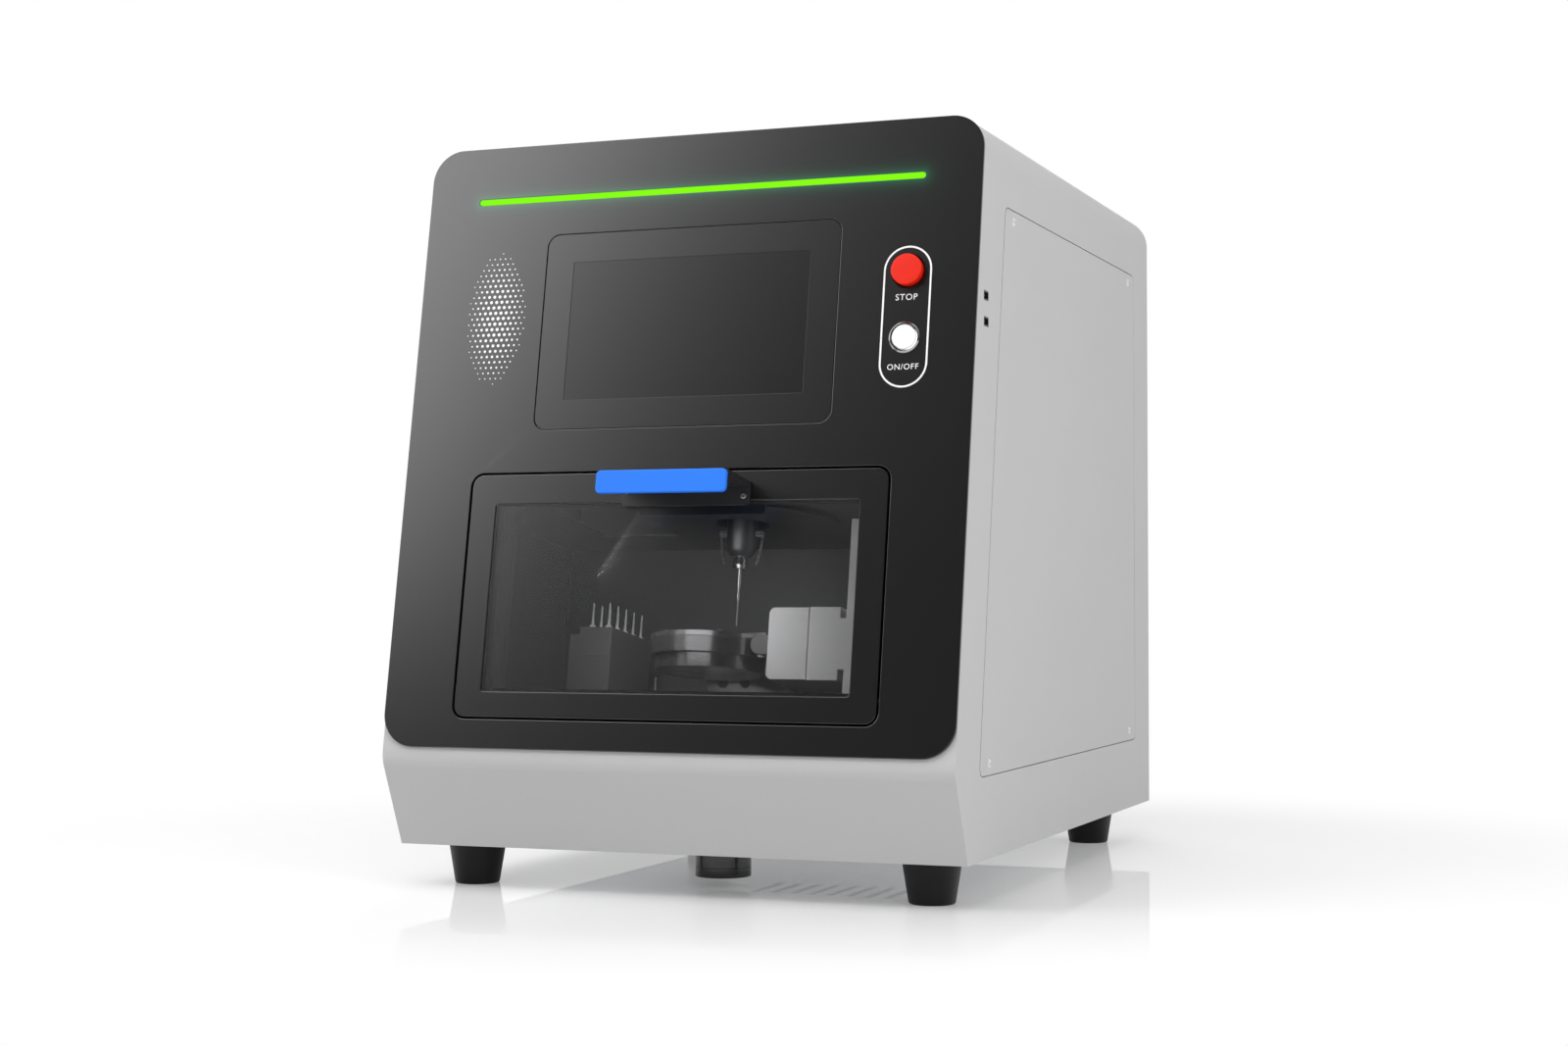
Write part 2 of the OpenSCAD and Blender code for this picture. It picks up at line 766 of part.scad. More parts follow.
module handle_bracket() {
    color(black) on_front() difference() {
        union() {
            slab(-handle_t + 1, 0) rounded(handle_x0, handle_x1, handle_s0, handle_s1 + 2, 4);
            box(handle_x0, handle_x1, -handle_reach + handle_t, 0, handle_s1 - handle_t,
                handle_s1);
            box(handle_x0, handle_x1, -handle_reach + handle_t, -handle_reach + handle_t + 3,
                handle_s1 - 12, handle_s1);
        }
        for (p = handle_screw_at) rod_y(-handle_t - 1, 1, p[0], p[1], 1.5 + seat);
    }
}

// the left screw sits higher, in the shade of the grip plate
handle_screw_at = [[handle_x0 + 5, handle_s0 + 12.9], [handle_x1 - 5, handle_s0 + 7.4]];

module grip_plate() {
    color(blue) on_front() slab(-handle_reach, -handle_reach + handle_t - seat / 10)
        rounded(handle_x0, handle_x1, handle_s0, handle_s1, 4);
}

module handle_screws() {
    color(steel) on_front() for (p = handle_screw_at) {
        rod_y(-handle_t + 1 - head_t, -handle_t + 1, p[0], p[1], 2.6);
        rod_y(-handle_t + 1 - eps, 0, p[0], p[1], 1.5);
    }
}

module hinge_brackets() {
    x0 = door_hw + door_gap + 1;
    color(steel) on_front() for (side = [-1, 1]) mirror([side < 0 ? 1 : 0, 0, 0]) difference() {
        box(x0, x0 + 10, fascia_t + seat, flange_d - 2, hinge_s - 9, hinge_s + 9);
        rod_x(x0 - 1, x0 + 11, hinge_d, hinge_s, hinge_pin_r + run);
    }
}

module hinge_pins() {
    color(steel) on_front() for (side = [-1, 1]) mirror([side < 0 ? 1 : 0, 0, 0])
        rod_x(door_hw - 13, door_hw + door_gap + 10, hinge_d, hinge_s, hinge_pin_r);
}

// ---- chamber ----

throat_s0 = hinge_s + 5.5; // floor of the throat behind the door
throat_s1 = seal_s1 - seal_w; // ceiling of the throat
throat_hw = door_hw - 24; // half width of the throat
jamb_d = flange_d + 20.7; // rear face of the jamb
jamb_s1 = throat_s1 - 8; // upper edge of the jamb
bay_x1 = 164; // right wall of the wide front bay
bay_d = axis_d - unit_hd - 2; // rear of the wide front bay
slot_x0 = -x_left - 31; // ceiling opening for the spindle's travel
slot_x1 = x_right + 31;
slot_d0 = axis_d - y_front - 31;
slot_d1 = axis_d + y_rear + 31;

module latch_plate() {
    color(iron) on_front() {
        slab(jamb_d - 6, jamb_d - 2.3) rounded(handle_x0, handle_x1, handle_s0 - 0.4,
            throat_s1 - seat, 3);
        for (x = [handle_x1 - 5, handle_x1 - 10, handle_x])
            rod_y(jamb_d - 7, jamb_d - 5, x, handle_s0 + 4, 1.2);
    }
}

module chamber_liner() {
    color("#4a4c4e") difference() {
        on_front() difference() {
            union() {
                box(room_x0 - wall, room_x1 + wall, jamb_d - wall, room_d1 + wall,
                    room_s0 - wall, room_s1 + wall);
                box(room_x0 - wall, bay_x1 + wall, jamb_d - wall, bay_d + wall,
                    room_s0 - wall, room_s1 + wall);
                box(-throat_hw - wall, throat_hw + wall, flange_d, jamb_d, throat_s0 - wall,
                    throat_s1 + wall);
                slab(flange_d, flange_d + wall) rounded(-door_hw + 8, door_hw - 8,
                    seal_s0 - 0.5, room_s1 + wall, 6);
            }
            box(room_x0, room_x1, jamb_d, room_d1, room_s0, room_s1);
            box(room_x0, bay_x1, jamb_d, bay_d, room_s0, room_s1);
            box(-throat_hw, throat_hw, flange_d - 1, jamb_d - wall, throat_s0, throat_s1);
            slab(jamb_d - wall - 1, jamb_d + 1)
                rounded(-bay_x1 - 1, bay_x1, throat_s0 + 1.5, jamb_s1, 8);
            box(slot_x0, slot_x1, slot_d0, slot_d1, room_s1 - 1, room_s1 + wall + 1);
            rod_x(room_x1 - 1, room_x1 + wall + 1, axis_d, axis_s, shaft_r + 2);
        }
        place() rod_z(0, front_z + 30, 0, spigot_y, spigot_r - spigot_wall);
    }
}

module ceiling_cover() {
    color("#2c2d2f") on_front() difference() {
        union() {
            rod_z(room_s1 - 5, room_s1 - 2, 0, axis_d, cover_r);
            rod_z(room_s1 - 4, shelf_s - seat, 0, axis_d, spindle_r + 4.5);
        }
        rod_z(room_s1 - 6, shelf_s + 1, 0, axis_d, spindle_r + 1.5);
    }
}

mag_x0 = mag_x - mag_w / 2;
mag_x1 = mag_x + mag_w / 2;
mag_len = bur_pd * (bur_rows - 1) + 18;
bur_places = [for (side = [-1, 1], row = [0 : bur_rows - 1])
    [mag_x + side * bur_px / 2, mag_d + 9 + row * bur_pd]];
bur_r = 1.5; // shank radius of a stored bur

module bur_magazine() {
    color(steel) on_front() difference() {
        union() {
            box(mag_x0, mag_x1, mag_d, mag_d + mag_len, room_s0, mag_s);
            box(mag_x0 - 9.7, mag_x0 + eps, mag_d, mag_d + mag_len, mag_s - 57.3, mag_s - 7);
        }
        for (p = bur_places) rod_z(mag_s - 12, mag_s + 1, p[0], p[1], bur_r + run);
        // seams of the clamping plates
        box(mag_x0 - 1, mag_x1 + 1, mag_d - 1, mag_d + 0.5, mag_s - 6.8, mag_s - 6.2);
        box(mag_x0 - 1, mag_x1 + 1, mag_d - 1, mag_d + 0.5, mag_s - 27.3, mag_s - 26.7);
    }
}

module magazine_burs() {
    color(silver) on_front() for (p = bur_places) {
        rod_z(mag_s - 11, mag_s + bur_out, p[0], p[1], bur_r);
        rod_z(mag_s + seat, mag_s + 3, p[0], p[1], bur_r + 1.3);
    }
}

sensor_at = [-102, 220]; // tool-length sensor
sensor_s = 77; // top of the sensor body
sensor_pin_r = 2;
sensor_travel = 3;

module sensor_body() {
    color(iron) on_front() difference() {
        rod_z(room_s0, sensor_s, sensor_at[0], sensor_at[1], 11);
        rod_z(sensor_s - 16, sensor_s + 1, sensor_at[0], sensor_at[1], sensor_pin_r + run);
    }
}

module sensor_pin() {
    color(silver) on_front()
        rod_z(sensor_s - 16 + sensor_travel + 1, sensor_s + 16, sensor_at[0], sensor_at[1],
            sensor_pin_r);
}

// ---- rotary unit ----

shaft_r = 12; // radius of the A shaft
bevel = 3.5; // bevel of the rotary head's left edges
neck_w = 5; // neck between the housing and its plate
plate_x0 = housing_x1 + neck_w;

module rotary_housing() {
    color(steel) on_front() difference() {
        union() {
            box(head_x1, housing_x1, axis_d - unit_hd, axis_d + unit_hd, axis_s - unit_hs,
                axis_s + unit_hs);
            box(housing_x1 - eps, plate_x0 + eps, axis_d - unit_hd, axis_d + unit_hd,
                axis_s - unit_hs + 9.8, axis_s + unit_hs - 9.8);
            box(plate_x0, room_x1 - seat, axis_d - unit_hd, axis_d + unit_hd, axis_s - 50,
                room_s1 - 9);
        }
        rod_x(head_x1 - 1, room_x1 + 1, axis_d, axis_s, shaft_r + run);
    }
}

ear_r = 8.6; // radius of an ear of the tilt fork
ear_t = 8; // thickness of an ear
ear_in = 8; // ears in from the head's front and rear faces
pivot_r = 3; // radius of the tilt pivot

module rotary_head() {
    d0 = axis_d - unit_hd + slip;
    d1 = axis_d + unit_hd - slip;
    hs = unit_hs - slip;
    color(steel) on_front() {
        difference() {
            box(head_x0, head_x1 - slip, d0, d1, axis_s - hs, axis_s + hs);
            for (side = [-1, 1]) translate([head_x0, 0, axis_s + side * hs]) rotate([0, 45, 0])
                cube([bevel * sqrt(2), 4 * d1, bevel * sqrt(2)], center = true);
        }
        rod_x(head_x1 - 1, room_x1 + 20, axis_d, axis_s, shaft_r);
        for (y = [d0 + ear_in, d1 - ear_in - ear_t]) {
            rod_y(y, y + ear_t, pivot_x, axis_s, ear_r);
            box(pivot_x, head_x0 + eps, y, y + ear_t, axis_s - ear_r, axis_s + ear_r);
        }
        rod_y(d0 + ear_in + 1, d1 - ear_in - 1, pivot_x, axis_s, pivot_r);
    }
}

ring_s0 = axis_s - 9; // underside of the blank ring
ring_s1 = axis_s + 4.7; // face under the clamp ring
clamp_t = 4.5; // thickness of the clamp ring
skirt_h = 13; // height of the narrower skirt under the ring
arm_d = blank_r1 - 5; // arm plate behind the A axis
arm_t = 8; // thickness of the arm plate
arm_s0 = axis_s - 34; // lower edge of the arm plate
arm_s1 = axis_s + 23.6; // upper edge of the arm plate
arm_screw_x = [-29.8, -8.2]; // counterbored screws of the arm
arm_screw_s = axis_s - 23.7;
clamp_screw_n = 6;

module blank_holder() {
    lug_d = unit_hd - slip - ear_in - ear_t - slip;
    color(steel) on_front() difference() {
        union() {
            rod_z(ring_s0, ring_s1, ring_x, axis_d, blank_r1);
            rod_z(ring_s0 - skirt_h, ring_s0 + eps, ring_x, axis_d, blank_r1 - 5);
            slab(axis_d + arm_d, axis_d + arm_d + arm_t)
                polygon(concat([[-36, arm_s0], [-44.5, arm_s0 + 3.5], [-48, arm_s0 + 12],
                    [-48, arm_s1], [9, arm_s1], [14, arm_s0 + 15.5],
                    [14 + 31 * cos(tilt_max) / cos(25), arm_s0]]));
            rod_y(axis_d - lug_d, axis_d + lug_d, pivot_x, axis_s, ear_r - 0.6);
            box(pivot_x - 12, pivot_x, axis_d - lug_d + 6, axis_d + lug_d - 6, ring_s0,
                ring_s1);
        }
        rod_z(ring_s0 - skirt_h - 1, ring_s1 + 1, ring_x, axis_d, blank_r0 - 3);
        rod_z(ring_s0 + 2, ring_s1 + 1, ring_x, axis_d, blank_r0);
        rod_z(ring_s1, ring_s1 + 20, ring_x, axis_d, blank_r1 + slip);
        rod_y(0, room_d1, pivot_x, axis_s, pivot_r + run);
        for (x = arm_screw_x) {
            rod_y(axis_d + arm_d - 1, axis_d + arm_d + 5, x, arm_screw_s, 5);
            rod_y(axis_d + arm_d, axis_d + arm_d + 20, x, arm_screw_s, 2.5 + run);
        }
        for (a = clamp_angles) rod_z(ring_s0 + 1, ring_s1 + 1,
            ring_x + clamp_line * cos(a), axis_d + clamp_line * sin(a), 1.2 + run);
    }
}

clamp_line = (blank_r0 + blank_r1) / 2; // radius of the clamp screws' circle
clamp_angles = [for (k = [0 : clamp_screw_n - 1]) 60 + k * 360 / clamp_screw_n];

module clamp_ring() {
    color(steel) on_front() difference() {
        rod_z(ring_s1 + 0.3, ring_s1 + 0.3 + clamp_t, ring_x, axis_d, blank_r1);
        rod_z(ring_s1, ring_s1 + clamp_t + 1, ring_x, axis_d, blank_r0 - 1.5);
        for (a = clamp_angles) rod_z(ring_s1, ring_s1 + clamp_t + 1,
            ring_x + clamp_line * cos(a), axis_d + clamp_line * sin(a), 1.2 + run);
    }
}

module clamp_screws() {
    top = ring_s1 + 0.3 + clamp_t;
    color(iron) on_front() {
        for (a = clamp_angles) {
            x = ring_x + clamp_line * cos(a);
            y = axis_d + clamp_line * sin(a);
            rod_z(ring_s0 + 2, top + eps, x, y, 1.2);
            rod_z(top, top + 1.6, x, y, 2.2);
        }
        for (x = arm_screw_x) {
            rod_y(axis_d + arm_d + 1.5, axis_d + arm_d + 5, x, arm_screw_s, 4.2);
            rod_y(axis_d + arm_d + 4.9, axis_d + arm_d + arm_t + 3, x, arm_screw_s, 2.5);
        }
    }
}

motor_w = 42; // side of a square stepper motor
motor_len = 48; // length of a stepper motor

// the A axis motor and the Y axis motor, both fixed to the frame
module fixed_motors() {
    x0 = room_x1 + wall + seat;
    color(iron) on_front() {
        difference() {
            union() {
                box(x0, x0 + 8, axis_d - 35, axis_d + 35, axis_s - 35, axis_s + 35);
                rod_x(x0, x0 + 78, axis_d, axis_s, 30);
            }
            rod_x(x0 - 1, room_x1 + 22, axis_d, axis_s, shaft_r + run);
        }
        translate([y_screw_x, bed_d1 + seat, y_screw_s]) difference() {
            box(-motor_w / 2, motor_w / 2, 0, motor_len, -motor_w / 2, motor_w / 2);
            rod_y(-1, 12, 0, 0, screw_r + run);
        }
    }
}

// ---- gantry ----

bed_s0 = room_s1 + wall + seat;
bed_s1 = bed_s0 + 6.7;
bed_d0 = jamb_d + 5;
bed_d1 = room_d1 + 7;
bed_hw = body_w / 2 - wall - ledge_t - slip;
way_x = 222; // middle of each Y way
way_hw = 8; // half width of each Y way
way_s = bed_s1 + 10; // top of the Y ways
y_screw_x = 195;
y_screw_s = way_s + 4;
beam_s0 = way_s + 12;
beam_h = 40; // height of the beam
beam_t = 30; // depth of the beam
beam_s1 = beam_s0 + beam_h;
back_d = axis_d + 46; // rear face of the X carriage's plate
way_t = 8; // X ways in front of the beam
way_h = 6; // height of an X way
shoe_hw = 12; // half width of a shoe on a Y way
shoe_len = 50; // length of a shoe
block_w = 10; // width of a bearing block
beam_d0 = back_d + way_t; // front face of the beam
x_screw_d = back_d + 7;
x_screw_s = (beam_s0 + beam_s1) / 2;
screw_over = 57; // X screw past the spindle's travel on the left
motor_over = 105; // X motor's seat past the spindle's travel on the right
x_screw_x0 = -x_left - screw_over;
x_screw_x1 = x_right + motor_over;
shelf_up = 15; // room between the chamber's ceiling and the X carriage's shelf
shelf_s = room_s1 + shelf_up; // underside of the X carriage's shelf
way_d = 15; // front ends of the Y ways behind the bed's front
shoe_d = 16; // middle of each shoe behind the beam's front face
pocket_d = 30; // room for the X motor ahead of the beam
screw_past = 12; // room for the Y screw behind the beam

module machine_bed() {
    color(iron) on_front() difference() {
        union() {
            difference() {
                box(-bed_hw, bed_hw, bed_d0, bed_d1, bed_s0, bed_s1);
                box(-way_x + way_hw + 8, way_x - way_hw - 8, bed_d0 + 17, bed_d1 - 14,
                    bed_s0 - 1, bed_s1 + 1);
            }
            for (side = [-1, 1]) box(side * way_x - way_hw, side * way_x + way_hw,
                bed_d0 + way_d, bed_d1, bed_s1 - eps, way_s);
            for (y = [bed_d0 + 2, bed_d1 - 8]) box(y_screw_x - 12, y_screw_x + 10.9, y, y + 8,
                bed_s1 - eps, y_screw_s + 12);
        }
        rod_y(bed_d0 + 4, bed_d1 + 1, y_screw_x, y_screw_s, screw_r + run);
    }
}

module y_beam() {
    color(steel) on_front() difference() {
        union() {
            box(-way_x - shoe_hw - 2, way_x + shoe_hw + 2, beam_d0, beam_d0 + beam_t, beam_s0,
                beam_s1);
            for (side = [-1, 1]) box(side * way_x - shoe_hw, side * way_x + shoe_hw,
                beam_d0 + shoe_d - shoe_len / 2, beam_d0 + shoe_d + shoe_len / 2,
                way_s + slip, beam_s0 + eps);
            box(y_screw_x - block_w, y_screw_x + block_w + 2, beam_d0 + 5,
                beam_d0 + beam_t - 5, y_screw_s - 9, beam_s0 + eps);
            // X ways, and the bearing blocks at the ends of the X screw
            for (s = [beam_s0 + 2, beam_s1 - 2 - way_h]) box(x_screw_x0, x_screw_x1,
                back_d + slip, beam_d0 + eps, s, s + way_h);
            for (x = [x_screw_x0, x_screw_x1 - block_w]) box(x, x + block_w, back_d + slip,
                beam_d0 + block_w, beam_s0 + 2, beam_s1 - 2);
        }
        box(x_screw_x0 + block_w, x_screw_x1 - block_w, beam_d0 - eps, beam_d0 + block_w,
            beam_s0 + way_h + 3, beam_s1 - way_h - 3);
        rod_x(x_screw_x0 + 1, x_screw_x1 + 1, x_screw_d, x_screw_s, screw_r + run);
        rod_y(beam_d0 - screw_past, beam_d0 + beam_t + screw_past, y_screw_x, y_screw_s,
            screw_r + run);
        // pocket of the X motor
        box(x_screw_x1, x_screw_x1 + motor_len + 3, beam_d0 - pocket_d,
            x_screw_d + motor_w / 2 + 1, beam_s0 - 2, beam_s1 + 2);
    }
}

module y_screw() {
    color(silver) on_front()
        rod_y(bed_d0 + 5, bed_d1 + 10, y_screw_x, y_screw_s, screw_r);
}

guide_x0 = 26; // inner side of a Z way
guide_x1 = 34; // outer side of a Z way
plate_d0 = back_d - 9; // front face of the X carriage's plate
guide_d0 = plate_d0 - 6.6; // front face of the Z ways
z_screw_d = plate_d0 - 4;
z_screw_r = 3;
tower_h = 172; // height of the X carriage above its shelf
z_top = shelf_s + tower_h; // top of the X carriage
carriage_hw = 45; // half width of the X carriage's plate
shelf_hw = 40; // half width of its shelf
shelf_t = 6; // thickness of the shelf
nut_hw = 12; // half width of the X nut

module x_carriage() {
    color(steel) on_front() difference() {
        union() {
            box(-shelf_hw, shelf_hw, axis_d - shelf_hw + 5, back_d, shelf_s, shelf_s + shelf_t);
            box(-carriage_hw, carriage_hw, plate_d0, back_d, shelf_s, z_top);
            for (side = [-1, 1]) box(min(side * guide_x0, side * guide_x1),
                max(side * guide_x0, side * guide_x1), guide_d0, plate_d0 + eps, shelf_s, z_top);
            box(-nut_hw, nut_hw, back_d - eps, x_screw_d + screw_r + 2, x_screw_s - screw_r - 3,
                x_screw_s + screw_r + 3);
        }
        rod_z(shelf_s - 1, shelf_s + shelf_t + 1, 0, axis_d, spindle_r + 2);
        rod_z(shelf_s - 1, shelf_s + shelf_t + 1, 0, z_screw_d, z_screw_r + run);
        rod_x(-carriage_hw, carriage_hw, x_screw_d, x_screw_s, screw_r + run);
    }
}

module x_screw() {
    color(silver) on_front()
        rod_x(x_screw_x0 + 2, x_screw_x1 + 10, x_screw_d, x_screw_s, screw_r);
}

module x_motor() {
    color(iron) on_front() translate([x_screw_x1 + seat, x_screw_d, x_screw_s]) difference() {
        box(0, motor_len, -motor_w / 2, motor_w / 2, -motor_w / 2, motor_w / 2);
        rod_x(-1, 12, 0, 0, screw_r + run);
    }
}

clamp_h = 50; // height of the spindle clamp
clamp_s0 = shelf_s + shelf_t + z_down + 4; // underside of the spindle clamp
clamp_s1 = clamp_s0 + clamp_h;
spindle_s1 = clamp_s1 + 28; // top of the spindle body

module z_carriage() {
    color(steel) on_front() difference() {
        union() {
            box(-36, 36, axis_d - 30, guide_d0 - slip, clamp_s0, clamp_s1);
            box(-guide_x0 + slip, guide_x0 - slip, guide_d0 - 1, plate_d0 - slip, clamp_s0,
                clamp_s1);
        }
        rod_z(clamp_s0 - 1, clamp_s1 + 1, 0, axis_d, spindle_r + 0.02);
        rod_z(clamp_s0 - 1, clamp_s1 + 1, 0, z_screw_d, z_screw_r + run);
    }
}

module z_screw() {
    color(silver) on_front() rod_z(shelf_s + 1, z_top + 10, 0, z_screw_d, z_screw_r);
}

module z_motor() {
    color(iron) on_front() translate([0, z_screw_d, z_top + seat]) difference() {
        box(-motor_w / 2, motor_w / 2, -motor_w / 2, motor_w / 2, 0, motor_len);
        rod_z(-1, 12, 0, 0, z_screw_r + run);
    }
}

nose_s = collet_s + 11; // underside of the spindle nose

module spindle_body() {
    color(iron) on_front() difference() {
        union() {
            rod_z(room_s1 + 7, spindle_s1, 0, axis_d, spindle_r);
            rod_z(nose_s + 6, room_s1 + 8, 0, axis_d, nose_tip_r);
            translate([0, axis_d, nose_s]) cylinder(h = 6, r1 = nose_tip_r - 5, r2 = nose_tip_r);
        }
        rod_z(nose_s - 1, nose_s + 40, 0, axis_d, 5 + run);
    }
}

module collet_nut() {
    color(silver) on_front() difference() {
        union() {
            rod_z(collet_s + 3, nose_s - 2, 0, axis_d, collet_r);
            translate([0, axis_d, collet_s]) cylinder(h = 3, r1 = collet_r - 1.5, r2 = collet_r);
            rod_z(nose_s - 3, nose_s + 36, 0, axis_d, 5);
        }
        rod_z(collet_s - 1, collet_s + 20, 0, axis_d, shank_r + 0.02);
    }
}

module milling_cutter() {
    color(silver) on_front() {
        rod_z(collet_s - 17, collet_s + 18, 0, axis_d, shank_r);
        rod_z(collet_s - 22, collet_s - 16, 0, axis_d, shank_r * 0.55);
        rod_z(collet_s - 28, collet_s - 21.5, 0, axis_d, shank_r * 0.85);
        rod_z(tip_s, collet_s - 27, 0, axis_d, 0.7);
    }
}

// two bent air tubes on the spindle nose
module air_nozzles() {
    color(steel) on_front() for (side = [-1, 1]) {
        x = side * (nose_tip_r + 6);
        box(x - 1.6, x + 1.6, axis_d - 1.6, axis_d + 1.6, nose_s + 4, nose_s + 24);
        translate([x, axis_d, nose_s + 6]) rotate([0, side * 20, 0])
            translate([0, 0, -14]) cylinder(h = 14, r = 1.3);
        box(min(x, side * nose_tip_r), max(x, side * nose_tip_r), axis_d - 2.5, axis_d + 2.5,
            nose_s + 19, nose_s + 24);
    }
}

// ---- rear and inside ----

rocker_at = inlet_at[1] + rocker_up;
rocker_tilt = 9; // half of the rocker's swing, in degrees

module mains_inlet() {
    x = inlet_at[0];
    color(black) place() difference() {
        union() {
            box(x - 18, x + 18, rear_face, rear_face + 2, inlet_at[1] - 16, rocker_at + 20);
            box(x - inlet_hw, x + inlet_hw, rear_face - 28, rear_face + eps,
                inlet_at[1] - inlet_low, rocker_at + rocker_high);
        }
        difference() {
            box(x - 12.2, x + 12.2, rear_face - 16, rear_face + 3, inlet_at[1] - 8.5,
                inlet_at[1] + 8.5);
            for (p = [[-7, -2], [0, 3], [7, -2]]) box(x + p[0] - 1, x + p[0] + 1,
                rear_face - 17, rear_face - 5, inlet_at[1] + p[1] - 2, inlet_at[1] + p[1] + 2);
        }
        box(x - 9.6, x + 9.6, rear_face - 18, rear_face + 3, rocker_at - 13.2, rocker_at + 13.2);
    }
}

module rocker_switch() {
    color("#b01818") place()
        translate([inlet_at[0], rear_face - 5, rocker_at]) rotate([rocker_tilt, 0, 0]) {
            plank(-9.3, 9.3) polygon([[-4, -8], [5, -11], [9.2, -11.4], [7.4, 0], [9.2, 11.4],
                [5, 11], [-4, 8]]);
            rod_x(-9.5, 9.5, 0, 0, 2);
        }
}

fan_t = 25; // depth of the fan
fan_y1 = rear_face - rear_t - seat;

module fan_housing() {
    h = fan_w / 2;
    color(black) place() translate([fan_at[0], 0, fan_at[1]]) {
        difference() {
            box(-h, h, fan_y1 - fan_t, fan_y1, -h, h);
            rod_y(fan_y1 - fan_t - 1, fan_y1 + 1, 0, 0, h - 3);
            for (x = [-1, 1], z = [-1, 1])
                rod_y(fan_y1 - fan_t - 1, fan_y1 + 1, x * (h - 7.5), z * (h - 7.5), 2.2);
        }
        rod_y(fan_y1 - fan_t, fan_y1 - fan_t + 3, 0, 0, fan_hub);
        rod_y(fan_y1 - fan_t, fan_y1 - fan_t + 16, 0, 0, 2.5);
        for (a = [0 : 90 : 270]) rotate([0, a + 45, 0])
            box(fan_hub - 2, h - 2, fan_y1 - fan_t, fan_y1 - fan_t + 3, -3, 3);
    }
}

module fan_rotor() {
    color(iron) place() translate([fan_at[0], 0, fan_at[1]]) {
        difference() {
            rod_y(fan_y1 - fan_t + 3.5, fan_y1 - 2, 0, 0, fan_hub);
            rod_y(fan_y1 - fan_t + 2, fan_y1 - fan_t + 17, 0, 0, 2.5 + run);
        }
        for (k = [0 : 6]) rotate([0, k * 360 / 7, 0]) translate([fan_hub - 2, fan_y1 - 13, 0])
            rotate([35, 0, 0]) box(0, fan_w / 2 - fan_hub - 3, -9, 9, -1, 1);
    }
}

fitting_in_y = 10; // fitting inside the cabinet
fitting_hex = 8; // length of the fitting's hexagon

module air_fitting() {
    color("#b08d4a") place() difference() {
        union() {
            rod_y(rear_face - fitting_in_y, rear_face + eps, fitting_at[0], fitting_at[1],
                fitting_r);
            translate([fitting_at[0], rear_face + fitting_hex, fitting_at[1]])
                rotate([90, 0, 0]) cylinder(h = fitting_hex, r = fitting_r + 3, $fn = 6);
            rod_y(rear_face, rear_y, fitting_at[0], fitting_at[1], fitting_r + 1);
        }
        rod_y(rear_face - fitting_in_y - 1, rear_y + 1, fitting_at[0], fitting_at[1],
            fitting_bore);
    }
}

psu = [120, 160, 60]; // width, length and height of the power supply
psu_in = 70; // power supply in from the left side
psu_rear = 70; // power supply ahead of the rear panel
psu_slot = 5; // width of a vent slot
board = [180, 160, 2]; // width, length and thickness of the control board
board_in = 50; // control board in from the right side
board_rear = 50; // control board ahead of the rear panel
post_h = 10; // height of the board's posts
post_in = 8; // posts in from the board's edges
chip = [50, 50, 6]; // largest chip
plug = [18, 25, 10]; // a connector at the board's front edge

module power_supply() {
    z = foot_h + pan_t;
    color(silver) place() translate([psu_in - body_w / 2, rear_face - psu_rear - psu[1], z])
        difference() {
            cube(psu);
            for (k = [1 : 10]) box(-1, psu[0] / 10, k * psu[1] / 12, k * psu[1] / 12 + psu_slot,
                psu[2] / 4, psu[2] * 0.8);
        }
}

module control_board() {
    top = post_h + board[2];
    color("#1f6b3a") place() translate([body_w / 2 - board_in - board[0],
        rear_face - board_rear - board[1], foot_h + pan_t]) {
        translate([0, 0, post_h]) cube(board);
        for (x = [post_in, board[0] - post_in], y = [post_in, board[1] - post_in])
            rod_z(0, post_h + eps, x, y, 3);
        for (k = [0 : 4]) translate([plug[0] + 34 * k, plug[1] - 5, top - eps]) cube(plug);
        translate([board[0] / 6, board[1] * 0.44, top - eps]) cube(chip);
        translate([board[0] * 0.6, board[1] * 0.8, top - eps]) cube([chip[0], 20, 14]);
    }
}

cabinet_shell();
base_pan();
rear_panel();
left_access_panel();
right_access_panel();
cabinet_screws();
feet();
dust_spigot();
front_fascia();
light_bar();
display_bezel();
display_panel();
estop_housing();
estop_plunger();
estop_head();
power_switch_body();
power_button_cap();
usb_ports();
door_panel();
door_window();
door_frame();
door_seal();
handle_bracket();
grip_plate();
handle_screws();
hinge_brackets();
hinge_pins();
latch_plate();
chamber_liner();
ceiling_cover();
bur_magazine();
magazine_burs();
sensor_body();
sensor_pin();
rotary_housing();
rotary_head();
blank_holder();
clamp_ring();
clamp_screws();
fixed_motors();
machine_bed();
y_beam();
y_screw();
x_carriage();
x_screw();
x_motor();
z_carriage();
z_screw();
z_motor();
spindle_body();
collet_nut();
milling_cutter();
air_nozzles();
mains_inlet();
rocker_switch();
fan_housing();
fan_rotor();
air_fitting();
power_supply();
control_board();
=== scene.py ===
"""Looks of a benchtop five-axis dental mill: a silver cabinet, a leaning black front and a windowed door.

Sizes in the classes are millimetres. Two spaces are used. Cabinet space has x to the right, y back from
the lower edge of the front and z up from the floor. Front space leans with the front: x to the right, d
into the cabinet and s up the slope.
"""

import logging
import math
from dataclasses import dataclass
from enum import Enum
from typing import Callable, ClassVar, Protocol, Sequence

import bmesh
import bpy
import numpy as np
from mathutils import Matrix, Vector
from mathutils.geometry import tessellate_polygon


